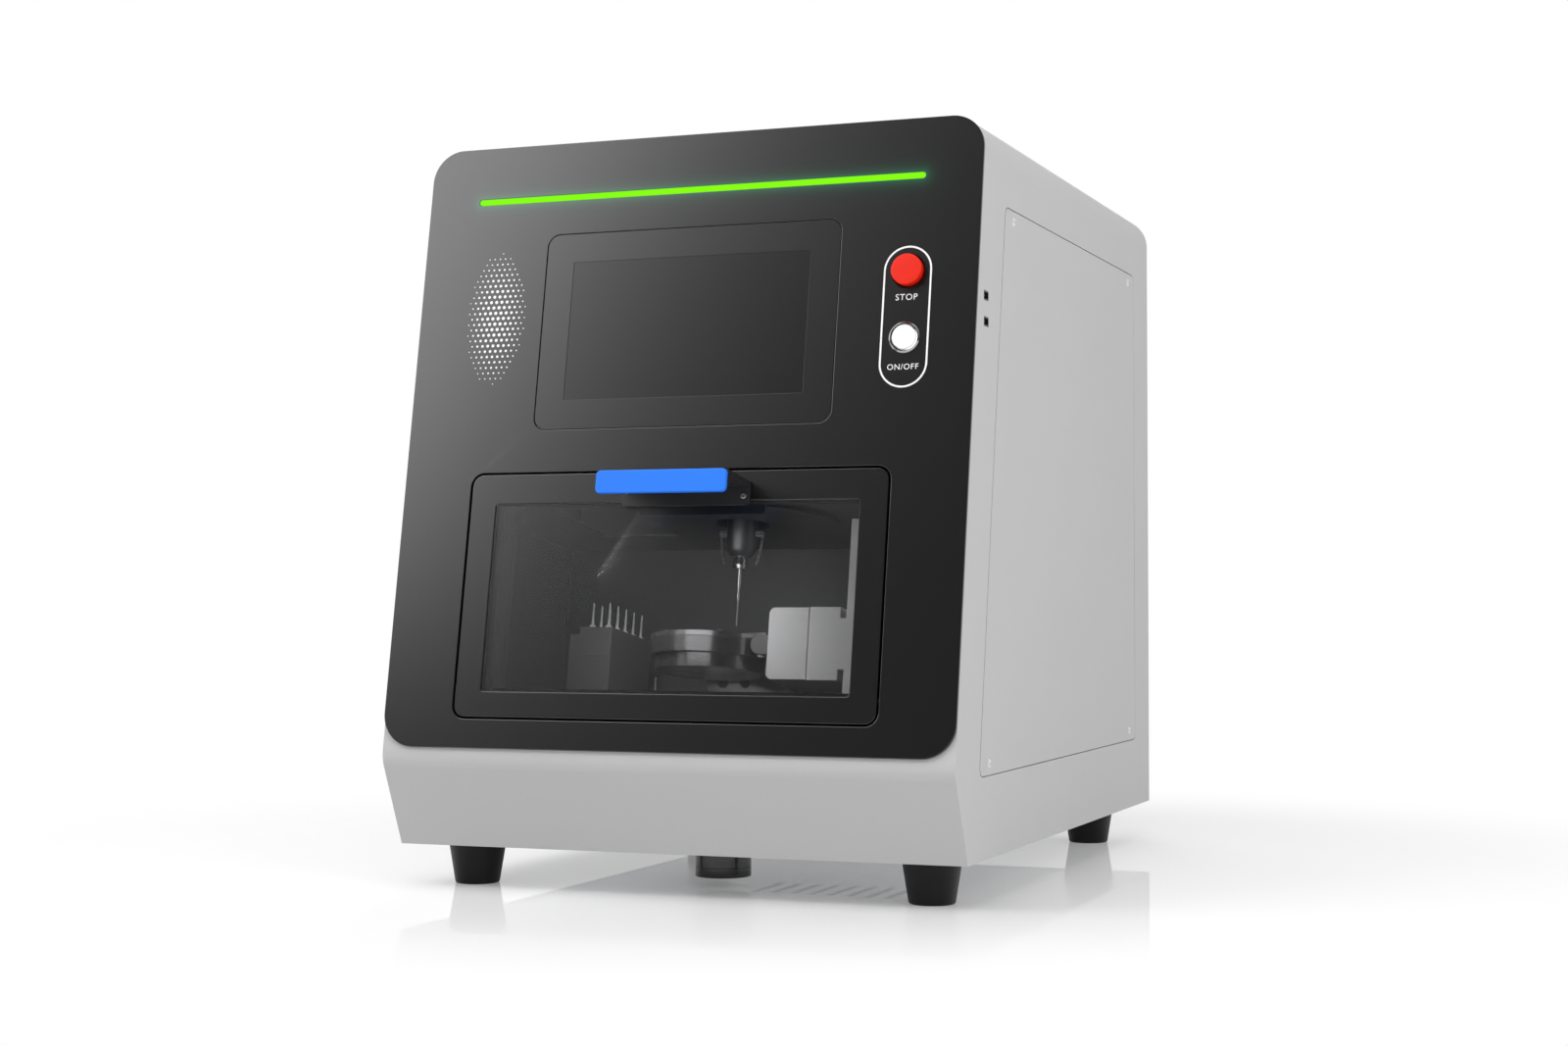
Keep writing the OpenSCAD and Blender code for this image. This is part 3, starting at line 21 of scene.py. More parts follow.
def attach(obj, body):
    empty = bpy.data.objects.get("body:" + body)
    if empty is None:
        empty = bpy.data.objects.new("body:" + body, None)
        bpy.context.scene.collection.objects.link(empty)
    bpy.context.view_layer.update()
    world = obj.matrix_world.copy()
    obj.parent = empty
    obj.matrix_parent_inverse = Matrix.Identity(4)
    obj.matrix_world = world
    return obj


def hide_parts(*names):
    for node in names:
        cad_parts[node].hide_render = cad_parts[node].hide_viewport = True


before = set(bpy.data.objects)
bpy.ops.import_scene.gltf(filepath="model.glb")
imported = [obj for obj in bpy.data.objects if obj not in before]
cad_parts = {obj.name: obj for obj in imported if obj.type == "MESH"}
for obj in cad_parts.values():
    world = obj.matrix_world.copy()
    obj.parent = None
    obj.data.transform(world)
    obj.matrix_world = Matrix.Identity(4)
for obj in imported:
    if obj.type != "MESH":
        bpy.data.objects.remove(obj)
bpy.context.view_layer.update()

LOG = logging.getLogger("mill")
MM = 0.001
# Angle by which the front leans back.
LEAN = math.radians(9.9)
# Height of the front's lower edge.
FRONT_Z = 126.0
# The machine's middle, counted back from the front's lower edge.
MID_Y = 355.4179
# A noise field mostly stays between these values.
NOISE_SPAN = (0.3, 0.7)
WHITE_LIGHT = (1.0, 1.0, 1.0, 1.0)
# Points of a piece that lie closer than this, in metres, are one point.
SAME_POINT = 1e-7
# The same for a copy of a node, whose points are rounded more coarsely.
SAME_CAD_POINT = 2e-6
# Faces of a node that meet at less than this angle are one face.
FLAT_ANGLE = math.radians(1.0)

Triple = tuple[float, float, float]
Colour = Triple
Point = tuple[float, float]
Span = tuple[float, float]
Array = np.ndarray
Numbers = float | Array
Placer = Callable[[Numbers, Numbers, Numbers], Array]
Socket = bpy.types.NodeSocket


def row(x: Numbers, y: Numbers, z: Numbers) -> Array:
    """Cabinet millimetres to metres in the machine's frame, whose y starts at the machine's middle.

    Args:
        x, y, z: arrays of one shape, or numbers.

    Returns:
        An array of points, one per line.
    """
    x, y, z = np.broadcast_arrays(x, y, z)
    return np.stack([x, y - MID_Y, z], -1).reshape(-1, 3).astype(float) * MM


def front(x: Numbers, d: Numbers, s: Numbers) -> Array:
    """Front millimetres to metres: back = s sin(lean) + d cos(lean), up = s cos(lean) - d sin(lean).

    Args:
        x, d, s: arrays of one shape, or numbers.

    Returns:
        An array of points, one per line.
    """
    x, d, s = np.broadcast_arrays(x, d, s)
    back = s * math.sin(LEAN) + d * math.cos(LEAN)
    up = FRONT_Z + s * math.cos(LEAN) - d * math.sin(LEAN)
    return row(x, back, up)


# ---------------------------------------------------------------- finishes


class Sketch:
    """A material under construction: a Principled shader with a few nodes in front of it."""

    def __init__(self, name: str, **sockets: object) -> None:
        """Makes the material and sets plain sockets of its shader.

        Args:
            name: the material's name.
            sockets: values by socket name, with _ for a space.
        """
        self.material = bpy.data.materials.new(name)
        self.material.use_nodes = True
        self.tree = self.material.node_tree
        self.shader = self.tree.nodes["Principled BSDF"]
        for key, value in sockets.items():
            self.shader.inputs[key.replace("_", " ")].default_value = value
        self.coords = self.tree.nodes.new("ShaderNodeTexCoord")

    def node(self, kind: str, links: dict | None = None, **settings: object) -> bpy.types.Node:
        """Adds a node.

        Args:
            kind: the node type without its ShaderNode prefix.
            links: socket name or index to an output socket or a plain value.
            settings: properties of the node.

        Returns:
            The node.
        """
        made = self.tree.nodes.new("ShaderNode" + kind)
        for key, value in settings.items():
            setattr(made, key, value)
        for key, value in (links or {}).items():
            if isinstance(value, Socket):
                self.tree.links.new(value, made.inputs[key])
            else:
                made.inputs[key].default_value = value
        return made

    def place(self, scale: Triple = (1, 1, 1), turn: Triple = (0, 0, 0)) -> Socket:
        """Object coordinates, stretched and turned.

        Args:
            scale: factors along the three axes.
            turn: angles about the three axes.

        Returns:
            The vector socket.
        """
        links = {"Vector": self.coords.outputs["Object"], "Scale": scale, "Rotation": turn}
        return self.node("Mapping", links).outputs[0]

    def noise(self, scale: float, detail: float, vector: Socket | None = None) -> Socket:
        """A noise field on object coordinates.

        Args:
            scale: cells per metre.
            detail: number of octaves.
            vector: coordinates, or plain object coordinates.

        Returns:
            The factor socket.
        """
        links = {"Vector": vector or self.coords.outputs["Object"], "Scale": scale, "Detail": detail}
        return self.node("TexNoise", links).outputs[0]

    def shades(self, factor: Socket, dark: Colour, light: Colour) -> Socket:
        """Runs a noise field through a two-colour ramp.

        Args:
            factor: the field.
            dark, light: the colours at its ends.

        Returns:
            The colour socket.
        """
        ramp = self.node("ValToRGB", {"Fac": factor})
        for stop, place, colour in zip(ramp.color_ramp.elements, NOISE_SPAN, (dark, light)):
            stop.position = place
            stop.color = (*colour, 1)
        return ramp.outputs[0]

    def clouds(self, scale: float, colour: Colour, vary: float) -> Socket:
        """A colour that drifts a share darker and lighter over a slow noise field.

        Args:
            scale: cells per metre.
            colour: the middle colour.
            vary: the share.

        Returns:
            The colour socket.
        """
        return self.shades(self.noise(scale, 4), tint(colour, 1 - vary), tint(colour, 1 + vary))

    def span(self, factor: Socket, low: float, high: float) -> Socket:
        """Stretches a noise field to the given ends.

        Args:
            factor: the field.
            low, high: the ends.

        Returns:
            The value socket.
        """
        near, far = NOISE_SPAN
        links = {"Value": factor, "From Min": near, "From Max": far, "To Min": low, "To Max": high}
        return self.node("MapRange", links).outputs[0]

    def spread(self, factor: Socket, middle: float, share: float) -> Socket:
        """Stretches a noise field to a share below and above a middle value."""
        return self.span(factor, middle * (1 - share), middle * (1 + share))

    def math(self, operation: str, first: Socket | float, second: Socket | float = 0.0) -> Socket:
        """Adds a Math node.

        Args:
            operation: its kind.
            first, second: its inputs.

        Returns:
            The value socket.
        """
        return self.node("Math", {0: first, 1: second}, operation=operation).outputs[0]

    def mix(self, share: Socket, near: Socket, far: Socket | Sequence[float]) -> Socket:
        """Mixes two colours.

        Args:
            share: 0 gives the first, 1 the second.
            near, far: the colours.

        Returns:
            The colour socket.
        """
        return self.node("Mix", {"Factor": share, 6: near, 7: far}, data_type="RGBA").outputs[2]

    def wired(self, socket: str) -> Socket:
        """What is linked to a socket of the shader."""
        return self.shader.inputs[socket].links[0].from_socket

    def bump(self, height: Socket, strength: float, distance: float) -> None:
        """Adds a relief on top of any that the shader has.

        Args:
            height: the field.
            strength: share of the relief.
            distance: its depth in metres.
        """
        links = {"Height": height, "Strength": strength, "Distance": distance}
        socket = self.shader.inputs["Normal"]
        if socket.links:
            links["Normal"] = socket.links[0].from_socket
        self.wire(self.node("Bump", links).outputs[0], "Normal")

    def wire(self, source: Socket, socket: str) -> None:
        """Links an output to a socket of the shader."""
        self.tree.links.new(source, self.shader.inputs[socket])


def tint(colour: Colour, factor: float) -> Colour:
    """The colour made lighter or darker by a factor."""
    return tuple(min(1.0, c * factor) for c in colour)


@dataclass(frozen=True)
class Finish:
    """A finish with slow colour variation, a fine relief and uneven gloss."""

    name: str
    colour: Colour
    rough: float = 0.4
    metal: float = 0.0
    vary: float = 0.06
    cloud: float = 6.0
    grain: float = 900.0
    relief: float = 0.06
    depth: float = 0.0002
    specular: float = 0.5
    uneven: float = 0.05

    def sketch(self) -> Sketch:
        """Builds the material's nodes.

        Returns:
            The material under construction.
        """
        s = Sketch(self.name, Metallic=self.metal, Specular_IOR_Level=self.specular)
        s.wire(s.clouds(self.cloud, self.colour, self.vary), "Base Color")
        s.wire(s.spread(s.noise(self.cloud * 5, 3), self.rough, self.uneven), "Roughness")
        s.bump(s.noise(self.grain, 2), self.relief, self.depth)
        return s

    def material(self) -> bpy.types.Material:
        """The finished material, made once."""
        found = bpy.data.materials.get(self.name)
        return found or self.sketch().material


@dataclass(frozen=True)
class Brushed(Finish):
    """Metal with fine lines along one axis."""

    metal: float = 1.0
    stretch: Triple = (1.0, 40.0, 40.0)
    lines: float = 30.0
    line_relief: float = 0.12
    gloss_span: Span = (0.75, 1.3)

    def sketch(self) -> Sketch:
        """Builds the nodes, with line noise for the brushed direction.

        Returns:
            The material under construction.
        """
        s = super().sketch()
        lines = s.noise(self.lines, 6, s.place(self.stretch))
        s.bump(lines, self.line_relief, self.depth)
        fine, coarse = self.gloss_span
        s.wire(s.span(lines, self.rough * fine, self.rough * coarse), "Roughness")
        return s


@dataclass(frozen=True)
class Lit(Finish):
    """A diffuser that glows, a little dimmer here and there."""

    glow: Colour = (1.0, 1.0, 1.0)
    strength: float = 1.0
    patches: float = 18.0
    dimmest: float = 0.94

    def sketch(self) -> Sketch:
        """Builds the nodes, with an emission on top of the plastic.

        Returns:
            The material under construction.
        """
        s = super().sketch()
        patches = s.noise(self.patches, 2)
        s.wire(s.shades(patches, tint(self.glow, self.dimmest), self.glow), "Emission Color")
        s.shader.inputs["Emission Strength"].default_value = self.strength
        return s


@dataclass(frozen=True)
class Pane(Finish):
    """Smoked clear sheet."""

    alpha: float = 0.3
    index: float = 1.5
    haze: float = 7.0
    haze_share: float = 0.04

    def sketch(self) -> Sketch:
        """Builds the nodes, with a see-through share and a faint haze.

        Returns:
            The material under construction.
        """
        s = super().sketch()
        s.shader.inputs["IOR"].default_value = self.index
        s.wire(s.spread(s.noise(self.haze, 3), self.alpha, self.haze_share), "Alpha")
        return s


@dataclass(frozen=True)
class PaintedGlowPanel(Finish):
    """Gloss black panel with the bar's light painted onto it as a green glow round the bar."""

    bar_s: float = 490.97
    half_w: float = 207.5
    reach: float = 4.0
    power: float = 0.5
    glow: Colour = (0.03, 0.42, 0.20)

    def sketch(self) -> Sketch:
        """Builds the nodes: a painted green glow falls off with the distance from the bar, exp(-distance /
        reach).

        Returns:
            The material under construction.
        """
        s = super().sketch()
        xyz = s.node("SeparateXYZ", {"Vector": s.place(turn=(LEAN, 0, 0))})
        centre = (FRONT_Z * MM * math.cos(LEAN) - MID_Y * MM * math.sin(LEAN)) + self.bar_s * MM
        up = s.math("SUBTRACT", xyz.outputs["Z"], centre)
        side = s.math("ABSOLUTE", xyz.outputs["X"])
        over = s.math("MAXIMUM", s.math("SUBTRACT", side, self.half_w * MM))
        both = s.node("CombineXYZ", {"X": over, "Y": up}).outputs[0]
        far = s.node("VectorMath", {0: both}, operation="LENGTH").outputs["Value"]
        fall = s.math("EXPONENT", s.math("MULTIPLY", far, -1 / (self.reach * MM)))
        share = s.math("MULTIPLY", fall, self.power)
        # Painted glow: emission on the panel itself stands in for the bar's light falling on it.
        s.wire(s.mix(share, (0, 0, 0, 1), (*self.glow, 1)), "Emission Color")
        s.shader.inputs["Emission Strength"].default_value = 1.0
        return s


@dataclass(frozen=True)
class TwoTone(Finish):
    """A finish that gives way to another colour and gloss past a plane across the piece."""

    past: Colour = (0.5, 0.5, 0.5)
    past_rough: float = 0.4
    toward: Triple = (1.0, 0.0, 0.0)
    start: float = 0.0
    step: float = 0.3

    def sketch(self) -> Sketch:
        """Builds the nodes: the second tone's share steps from 0 to 1 where position . toward passes start.

        Returns:
            The material under construction.
        """
        s = super().sketch()
        links = {0: s.coords.outputs["Object"], 1: self.toward}
        along = s.node("VectorMath", links, operation="DOT_PRODUCT").outputs["Value"]
        ends = {"Value": along, "From Min": self.start, "From Max": self.start + self.step * MM}
        share = s.node("MapRange", ends).outputs[0]
        past = s.clouds(self.cloud, self.past, self.vary)
        s.wire(s.mix(share, s.wired("Base Color"), past), "Base Color")
        dull = s.spread(s.noise(self.cloud * 4, 3), self.past_rough, self.uneven)
        rough = s.node("Mix", {"Factor": share, "A": s.wired("Roughness"), "B": dull}).outputs[0]
        s.wire(rough, "Roughness")
        return s


@dataclass(frozen=True)
class SeamShaded(Finish):
    """Paint on a sheet that lies square to x, with painted shade on the faces that look into its seam."""

    shade: Colour = (0.03, 0.03, 0.03)
    turned: Span = (0.97, 0.75)

    def sketch(self) -> Sketch:
        """Builds the nodes: the share of the painted shade grows from 0 to 1 as the x part of the normal
        shrinks.

        Returns:
            The material under construction.
        """
        s = super().sketch()
        parts = s.node("SeparateXYZ", {"Vector": s.coords.outputs["Normal"]})
        across = s.math("ABSOLUTE", parts.outputs["X"])
        square, slanted = self.turned
        ends = {"Value": across, "From Min": square, "From Max": slanted}
        share = s.node("MapRange", ends).outputs[0]
        shade = s.clouds(self.cloud, self.shade, self.vary)
        s.wire(s.mix(share, s.wired("Base Color"), shade), "Base Color")
        return s


SILVER = (0.55, 0.55, 0.553)
POWDER = {
    "rough": 0.55, "specular": 0.12, "vary": 0.006, "cloud": 3, "relief": 0.1, "depth": 0.0001,
    "grain": 1300,
}
PAINT = Finish("silver powder coat", SILVER, **POWDER)
# The access panels' silver paint, with painted shade on the faces along their seams.
PANEL_PAINT_AND_SEAM_SHADE = SeamShaded("silver powder coat with painted seam shade", SILVER, **POWDER)
JET = (0.004, 0.004, 0.0042)
GLOSS = {"rough": 0.288, "uneven": 0.004, "vary": 0.02, "relief": 0.008, "depth": 0.00005, "specular": 1.0}
# The fascia's gloss black, with a painted green glow round the light bar.
BLACK_PANEL_WITH_PAINTED_GLOW = PaintedGlowPanel("gloss black panel with painted bar glow", JET, **GLOSS)
BLACK_DOOR = Finish("gloss black door", JET, **GLOSS)
BLACK_SCREEN = Finish("screen border", JET, **GLOSS)
SCREEN = Finish(
    "dark screen glass", (0.003, 0.003, 0.0032), rough=0.28, specular=0.84, uneven=0.004, vary=0.02,
    relief=0.0,
)
BLACK_SHEET = Finish("black powder coat", (0.02, 0.02, 0.022), rough=0.45, vary=0.08)
BLACK_PLASTIC = Finish(
    "moulded black plastic", (0.022, 0.022, 0.024), rough=0.5, vary=0.1, grain=1800, relief=0.12,
)
RUBBER = Finish(
    "black rubber", (0.005, 0.005, 0.0052), rough=0.45, specular=0.3, vary=0.15, cloud=30, grain=700,
    relief=0.1,
)
RED = Finish(
    "red plastic", (0.82, 0.016, 0.003), rough=0.4, specular=0.25, vary=0.03, cloud=30, grain=1500,
    relief=0.04,
)
BLUE = Finish("blue enamel", (0.022, 0.21, 1.0), rough=0.5, specular=0.2, vary=0.03, cloud=20, relief=0.03)
WHITE = Lit("lit white cap", (0.8, 0.8, 0.8), rough=0.4, vary=0.02, specular=0.2, strength=0.4)
GREEN = Lit(
    "green light diffuser", (0.02, 0.06, 0.0), rough=0.6, vary=0.02, specular=0.05,
    glow=(0.226, 0.99, 0.001),
)
INK = Finish(
    "white ink", (0.94, 0.94, 0.94), rough=0.6, vary=0.01, specular=0.2, relief=0.05, depth=0.00005,
)
CHROME = Brushed("polished steel", (0.62, 0.62, 0.63), rough=0.16, vary=0.02, relief=0.0)
BUTTON_RING = Finish("dark chrome", (0.45, 0.45, 0.455), rough=0.13, metal=1.0, vary=0.03, relief=0.0)
BUR_STEEL = Finish(
    "ground bur steel", (0.6, 0.6, 0.61), rough=0.42, metal=0.3, vary=0.04, cloud=60, relief=0.03,
)
STEEL = Brushed("brushed steel", (0.5, 0.5, 0.51), rough=0.3, vary=0.04)
ZINC = Brushed("zinc-plated sheet", (0.5, 0.51, 0.53), rough=0.36, vary=0.12, cloud=40)
DARK_STEEL = Brushed("dark steel", (0.14, 0.145, 0.15), rough=0.36, vary=0.06)
ALLOY = Finish(
    "milled alloy", (0.30, 0.30, 0.305), rough=0.45, metal=0.5, vary=0.04, grain=500, relief=0.06,
)
ARM_D = 208.0
HOLDER = TwoTone(
    "polished holder with a satin arm", (0.20, 0.20, 0.205), rough=0.22, metal=0.9, vary=0.04, relief=0.03,
    past=(0.42, 0.42, 0.425), past_rough=0.45, toward=(0.0, math.cos(LEAN), -math.sin(LEAN)),
    start=(ARM_D - MID_Y * math.cos(LEAN) - FRONT_Z * math.sin(LEAN)) * MM,
)
CLAMP = Finish("polished clamp ring", (0.30, 0.30, 0.305), rough=0.2, metal=0.9, vary=0.04, relief=0.03)
CHAMBER = Finish("dark grey chamber paint", (0.06, 0.061, 0.063), rough=0.5, specular=0.3, vary=0.04)
MOTOR = Finish("motor black", (0.03, 0.03, 0.032), rough=0.4, vary=0.08)
BRASS = Brushed("turned brass", (0.62, 0.44, 0.16), rough=0.28, vary=0.05)
BOARD = Finish("green solder mask", (0.015, 0.16, 0.06), rough=0.35, vary=0.12, cloud=60)
MAGAZINE = Finish(
    "grey anodised alloy", (0.16, 0.16, 0.164), rough=0.4, metal=0.5, vary=0.04, grain=500, relief=0.05,
)
CAST = Finish(
    "pale painted casting", (0.52, 0.52, 0.523), rough=0.45, metal=0.1, vary=0.02, grain=700, relief=0.06,
)
HEAD_X = 46.6
HEAD = TwoTone(
    "pale head with dark pivot ears", (0.07, 0.07, 0.072), rough=0.3, metal=0.1, vary=0.02, grain=700,
    relief=0.06, past=(0.50, 0.50, 0.503), past_rough=0.45, start=HEAD_X * MM,
)
SPIGOT = Brushed("turned steel tube", (0.075, 0.075, 0.075), rough=0.2, vary=0.05, stretch=(2.0, 2.0, 90.0))
SCREW = Finish("bright screw heads", (0.72, 0.72, 0.72), rough=0.3, metal=0.4, vary=0.03, cloud=60)
USB = Finish("socket metal", (0.03, 0.03, 0.032), rough=0.35, metal=0.6, vary=0.08, cloud=60)
WINDOW = Pane(
    "smoked window", JET, rough=0.288, uneven=0.004, vary=0.04, relief=0.0, specular=1.0, alpha=0.3,
    index=1.8,
)

NODE_FINISH: dict[str, Finish] = {
    "cabinet_shell": PAINT, "rear_panel": PAINT, "left_access_panel": PANEL_PAINT_AND_SEAM_SHADE,
    "right_access_panel": PANEL_PAINT_AND_SEAM_SHADE, "base_pan": ZINC, "cabinet_screws": SCREW, "feet": RUBBER,
    "dust_spigot": SPIGOT,
    "front_fascia": BLACK_PANEL_WITH_PAINTED_GLOW, "light_bar": GREEN, "display_bezel": BLACK_SCREEN, "display_panel": SCREEN,
    "estop_housing": BLACK_PLASTIC, "estop_plunger": BLACK_PLASTIC, "estop_head": RED,
    "power_switch_body": BUTTON_RING, "power_button_cap": WHITE, "usb_ports": USB,
    "door_panel": BLACK_DOOR, "door_window": WINDOW, "door_frame": BLACK_PLASTIC, "door_seal": RUBBER,
    "handle_bracket": BLACK_SHEET, "grip_plate": BLUE, "handle_screws": STEEL, "hinge_brackets": STEEL,
    "hinge_pins": STEEL, "latch_plate": DARK_STEEL, "chamber_liner": CHAMBER, "ceiling_cover": BLACK_SHEET,
    "bur_magazine": MAGAZINE, "magazine_burs": BUR_STEEL, "sensor_body": DARK_STEEL, "sensor_pin": CHROME,
    "rotary_housing": CAST, "rotary_head": HEAD, "blank_holder": HOLDER, "clamp_ring": CLAMP,
    "clamp_screws": DARK_STEEL, "fixed_motors": MOTOR, "machine_bed": DARK_STEEL, "y_beam": ALLOY,
    "y_screw": CHROME, "x_carriage": ALLOY, "x_screw": CHROME, "x_motor": MOTOR, "z_carriage": ALLOY,
    "z_screw": CHROME, "z_motor": MOTOR, "spindle_body": DARK_STEEL, "collet_nut": CHROME,
    "milling_cutter": CHROME, "air_nozzles": STEEL, "mains_inlet": BLACK_PLASTIC, "rocker_switch": RED,
    "fan_housing": BLACK_PLASTIC, "fan_rotor": BLACK_PLASTIC, "air_fitting": BRASS, "power_supply": ZINC,
    "control_board": BOARD,
}


def dress_nodes(nodes: dict[str, bpy.types.Object]) -> None:
    """Gives every carried-over node its finish.

    Args:
        nodes: the frame's nodes by name.
    """
    for name, obj in nodes.items():
        for slot in obj.material_slots:
            slot.material = NODE_FINISH[name].material()
        LOG.info("node %s: %s", name, NODE_FINISH[name].name)


# ---------------------------------------------------------------- shapes


class Body(Enum):
    """Bodies that the pieces ride on."""

    CABINET = "cabinet"
    DOOR = "door"
    STOP_HEAD = "stop_head"
    POWER_CAP = "power_cap"
    A_ROTOR = "a_rotor"
    B_HOLDER = "b_holder"
    X_SLIDER = "x_slider"
    Z_SLIDER = "z_slider"
    SPINDLE = "spindle_rotor"
    SENSOR = "sensor_plunger"
    ROCKER = "rocker"


@dataclass(frozen=True)
class RoundRect:
    """A rectangle with round corners in the plane of a sheet."""

    x0: float
    x1: float
    z0: float
    z1: float
    r: float
    steps: int = 10
    least_r: ClassVar[float] = 0.01

    def loop(self, grow: float = 0.0) -> Array:
        """Points of the outline: each corner is a quarter circle of radius r + grow about a fixed centre.

        Args:
            grow: how far the outline moves outwards.

        Returns:
            The points, anticlockwise.
        """
        turn = np.linspace(0, math.pi / 2, self.steps)[None, :] + np.arange(4)[:, None] * math.pi / 2
        cx = np.array([self.x1 - self.r, self.x0 + self.r, self.x0 + self.r, self.x1 - self.r])[:, None]
        cz = np.array([self.z1 - self.r, self.z1 - self.r, self.z0 + self.r, self.z0 + self.r])[:, None]
        reach = max(self.r + grow, self.least_r)
        return np.stack([cx + reach * np.cos(turn), cz + reach * np.sin(turn)], -1).reshape(-1, 2)

    def grown(self, by: float) -> "RoundRect":
        """The same shape with each side moved outwards, its corners about the same centres."""
        return RoundRect(self.x0 - by, self.x1 + by, self.z0 - by, self.z1 + by, self.r + by, self.steps)


@dataclass(frozen=True)
class Ring:
    """A circle in the plane of a sheet."""

    x: float
    z: float
    r: float
    steps: int = 48

    def loop(self, grow: float = 0.0) -> Array:
        """Points of a circle of radius r + grow.

        Args:
            grow: how far the outline moves outwards.

        Returns:
            The points, anticlockwise.
        """
        turn = np.arange(self.steps) * 2 * math.pi / self.steps
        reach = self.r + grow
        return np.stack([self.x + reach * np.cos(turn), self.z + reach * np.sin(turn)], -1)


Outline = RoundRect | Ring


class Piece:
    """A mesh put together from closed shells and then given a finish and a body."""

    def __init__(self, name: str) -> None:
        """Starts an empty piece.

        Args:
            name: the object's name.
        """
        self.name = name
        self.points: list[Array] = []
        self.faces: list[tuple[int, ...]] = []
        self.flat: list[int] = []
        self.count = 0

    def add(self, points: Array, faces: Sequence[Sequence[int]], caps: int = 0) -> "Piece":
        """Adds a shell.

        Args:
            points: its vertices in metres.
            faces: vertex numbers counted from this shell's first vertex.
            caps: how many of the last faces are plane and shaded flat.

        Returns:
            The piece.
        """
        self.points.append(np.asarray(points, float))
        start = self.count
        self.flat.extend(range(len(self.faces) + len(faces) - caps, len(self.faces) + len(faces)))
        self.faces.extend(tuple(int(i) + start for i in face) for face in faces)
        self.count += len(points)
        return self

    @staticmethod
    def strip(rows: int, width: int, offset: int = 0) -> list[tuple[int, ...]]:
        """Quads between neighbouring closed rows of a grid.

        Args:
            rows: number of rows.
            width: points in a row.
            offset: number of the first point.

        Returns:
            The quads, as vertex numbers.
        """
        i, j = np.meshgrid(np.arange(rows - 1), np.arange(width), indexing="ij")
        k = (j + 1) % width
        quads = np.stack([i * width + j, i * width + k, (i + 1) * width + k, (i + 1) * width + j], -1)
        return [tuple(q) for q in (quads.reshape(-1, 4) + offset).tolist()]

    def plate(
        self,
        outer: Outline,
        d0: float,
        d1: float,
        edge: float,
        holes: Sequence[Outline] = (),
        steps: int = 3,
        back_edge: float = 0.0,
    ) -> "Piece":
        """A sheet with openings and rounded front edges.

        Each outline is carried from the front face to the back one along a quarter circle: at angle t it
        stands in from its full size by edge (1 - sin t) and lies edge (1 - cos t) behind the front face.

        Args:
            outer: the sheet's outline, across and up the slope.
            d0, d1: depths of the front and back faces.
            edge: radius of the front edges.
            holes: outlines of the openings.
            steps: steps on each edge's arc.
            back_edge: radius of the back edges.

        Returns:
            The piece.
        """
        turn = np.linspace(0, math.pi / 2, steps + 1)
        inset = list(edge * (1 - np.sin(turn)))
        depth = list(d0 + edge * (1 - np.cos(turn)))
        if back_edge:
            inset += list(back_edge * (1 - np.cos(turn)))
            depth += list(d1 - back_edge * (1 - np.sin(turn)))
        else:
            inset.append(0.0)
            depth.append(d1)
        points: list[Array] = []
        faces: list[tuple[int, ...]] = []
        first: list[tuple[Array, int]] = []
        last: list[tuple[Array, int]] = []
        total = 0
        for k, outline in enumerate([outer, *holes]):
            sign = -1 if k == 0 else 1
            loops = np.stack([outline.loop(sign * i) for i in inset])
            count, width = loops.shape[:2]
            deep = np.broadcast_to(np.array(depth)[:, None], (count, width))
            points.append(front(loops[..., 0], deep, loops[..., 1]))
            faces += self.strip(count, width, total)
            first.append((loops[0], total))
            last.append((loops[-1], total + (count - 1) * width))
            total += count * width
        sides = len(faces)
        for group in (first, last):
            lines = [[Vector((p[0], p[1], 0)) for p in loop] for loop, _ in group]
            numbers = np.concatenate([start + np.arange(len(loop)) for loop, start in group])
            faces += [tuple(numbers[list(tri)]) for tri in tessellate_polygon(lines)]
        return self.add(np.concatenate(points), faces, len(faces) - sides)

    def turned(self, profile: Sequence[Point], place: Placer, segments: int, centre: Point) -> "Piece":
        """A turned shape: the profile (radius, height) goes once round its axis.

        Args:
            profile: points from one flat end to the other, or a closed run for a ring.
            place: turns (across, height, up) into points in metres.
            segments: steps round the axis.
            centre: the axis's place across and up.

        Returns:
            The piece.
        """
        prof = np.array(profile, float)
        turn = np.arange(segments) * 2 * math.pi / segments
        closed = np.allclose(prof[0], prof[-1])
        if closed:
            prof = prof[:-1]
        radius, height = prof[:, 0][:, None], prof[:, 1][:, None]
        points = place(centre[0] + radius * np.cos(turn), height, centre[1] + radius * np.sin(turn))
        count = len(prof)
        faces = self.strip(count, segments)
        if closed:
            tail = (count - 1) * segments
            j = np.arange(segments)
            k = (j + 1) % segments
            faces += [tuple(q) for q in np.stack([tail + j, tail + k, k, j], -1).tolist()]
        else:
            faces.append(tuple(range(segments)))
            faces.append(tuple(range((count - 1) * segments, count * segments)))
        return self.add(points, faces)

    def tube(self, path: Array, radius: float, segments: int) -> "Piece":
        """A round section carried along a path that never runs along x: each ring lies square to the path.

        Args:
            path: points in metres.
            radius: metres.
            segments: steps round the section.

        Returns:
            The piece.
        """
        ahead = np.gradient(path, axis=0)
        ahead /= np.linalg.norm(ahead, axis=1, keepdims=True)
        side = np.cross(ahead, (1.0, 0.0, 0.0))
        side /= np.linalg.norm(side, axis=1, keepdims=True)
        up = np.cross(side, ahead)
        turn = (np.arange(segments) * 2 * math.pi / segments)[None, :, None]
        rings = path[:, None] + radius * (side[:, None] * np.cos(turn) + up[:, None] * np.sin(turn))
        faces = self.strip(len(path), segments)
        faces += [tuple(range(segments)), tuple(range((len(path) - 1) * segments, len(path) * segments))]
        return self.add(rings.reshape(-1, 3), faces)

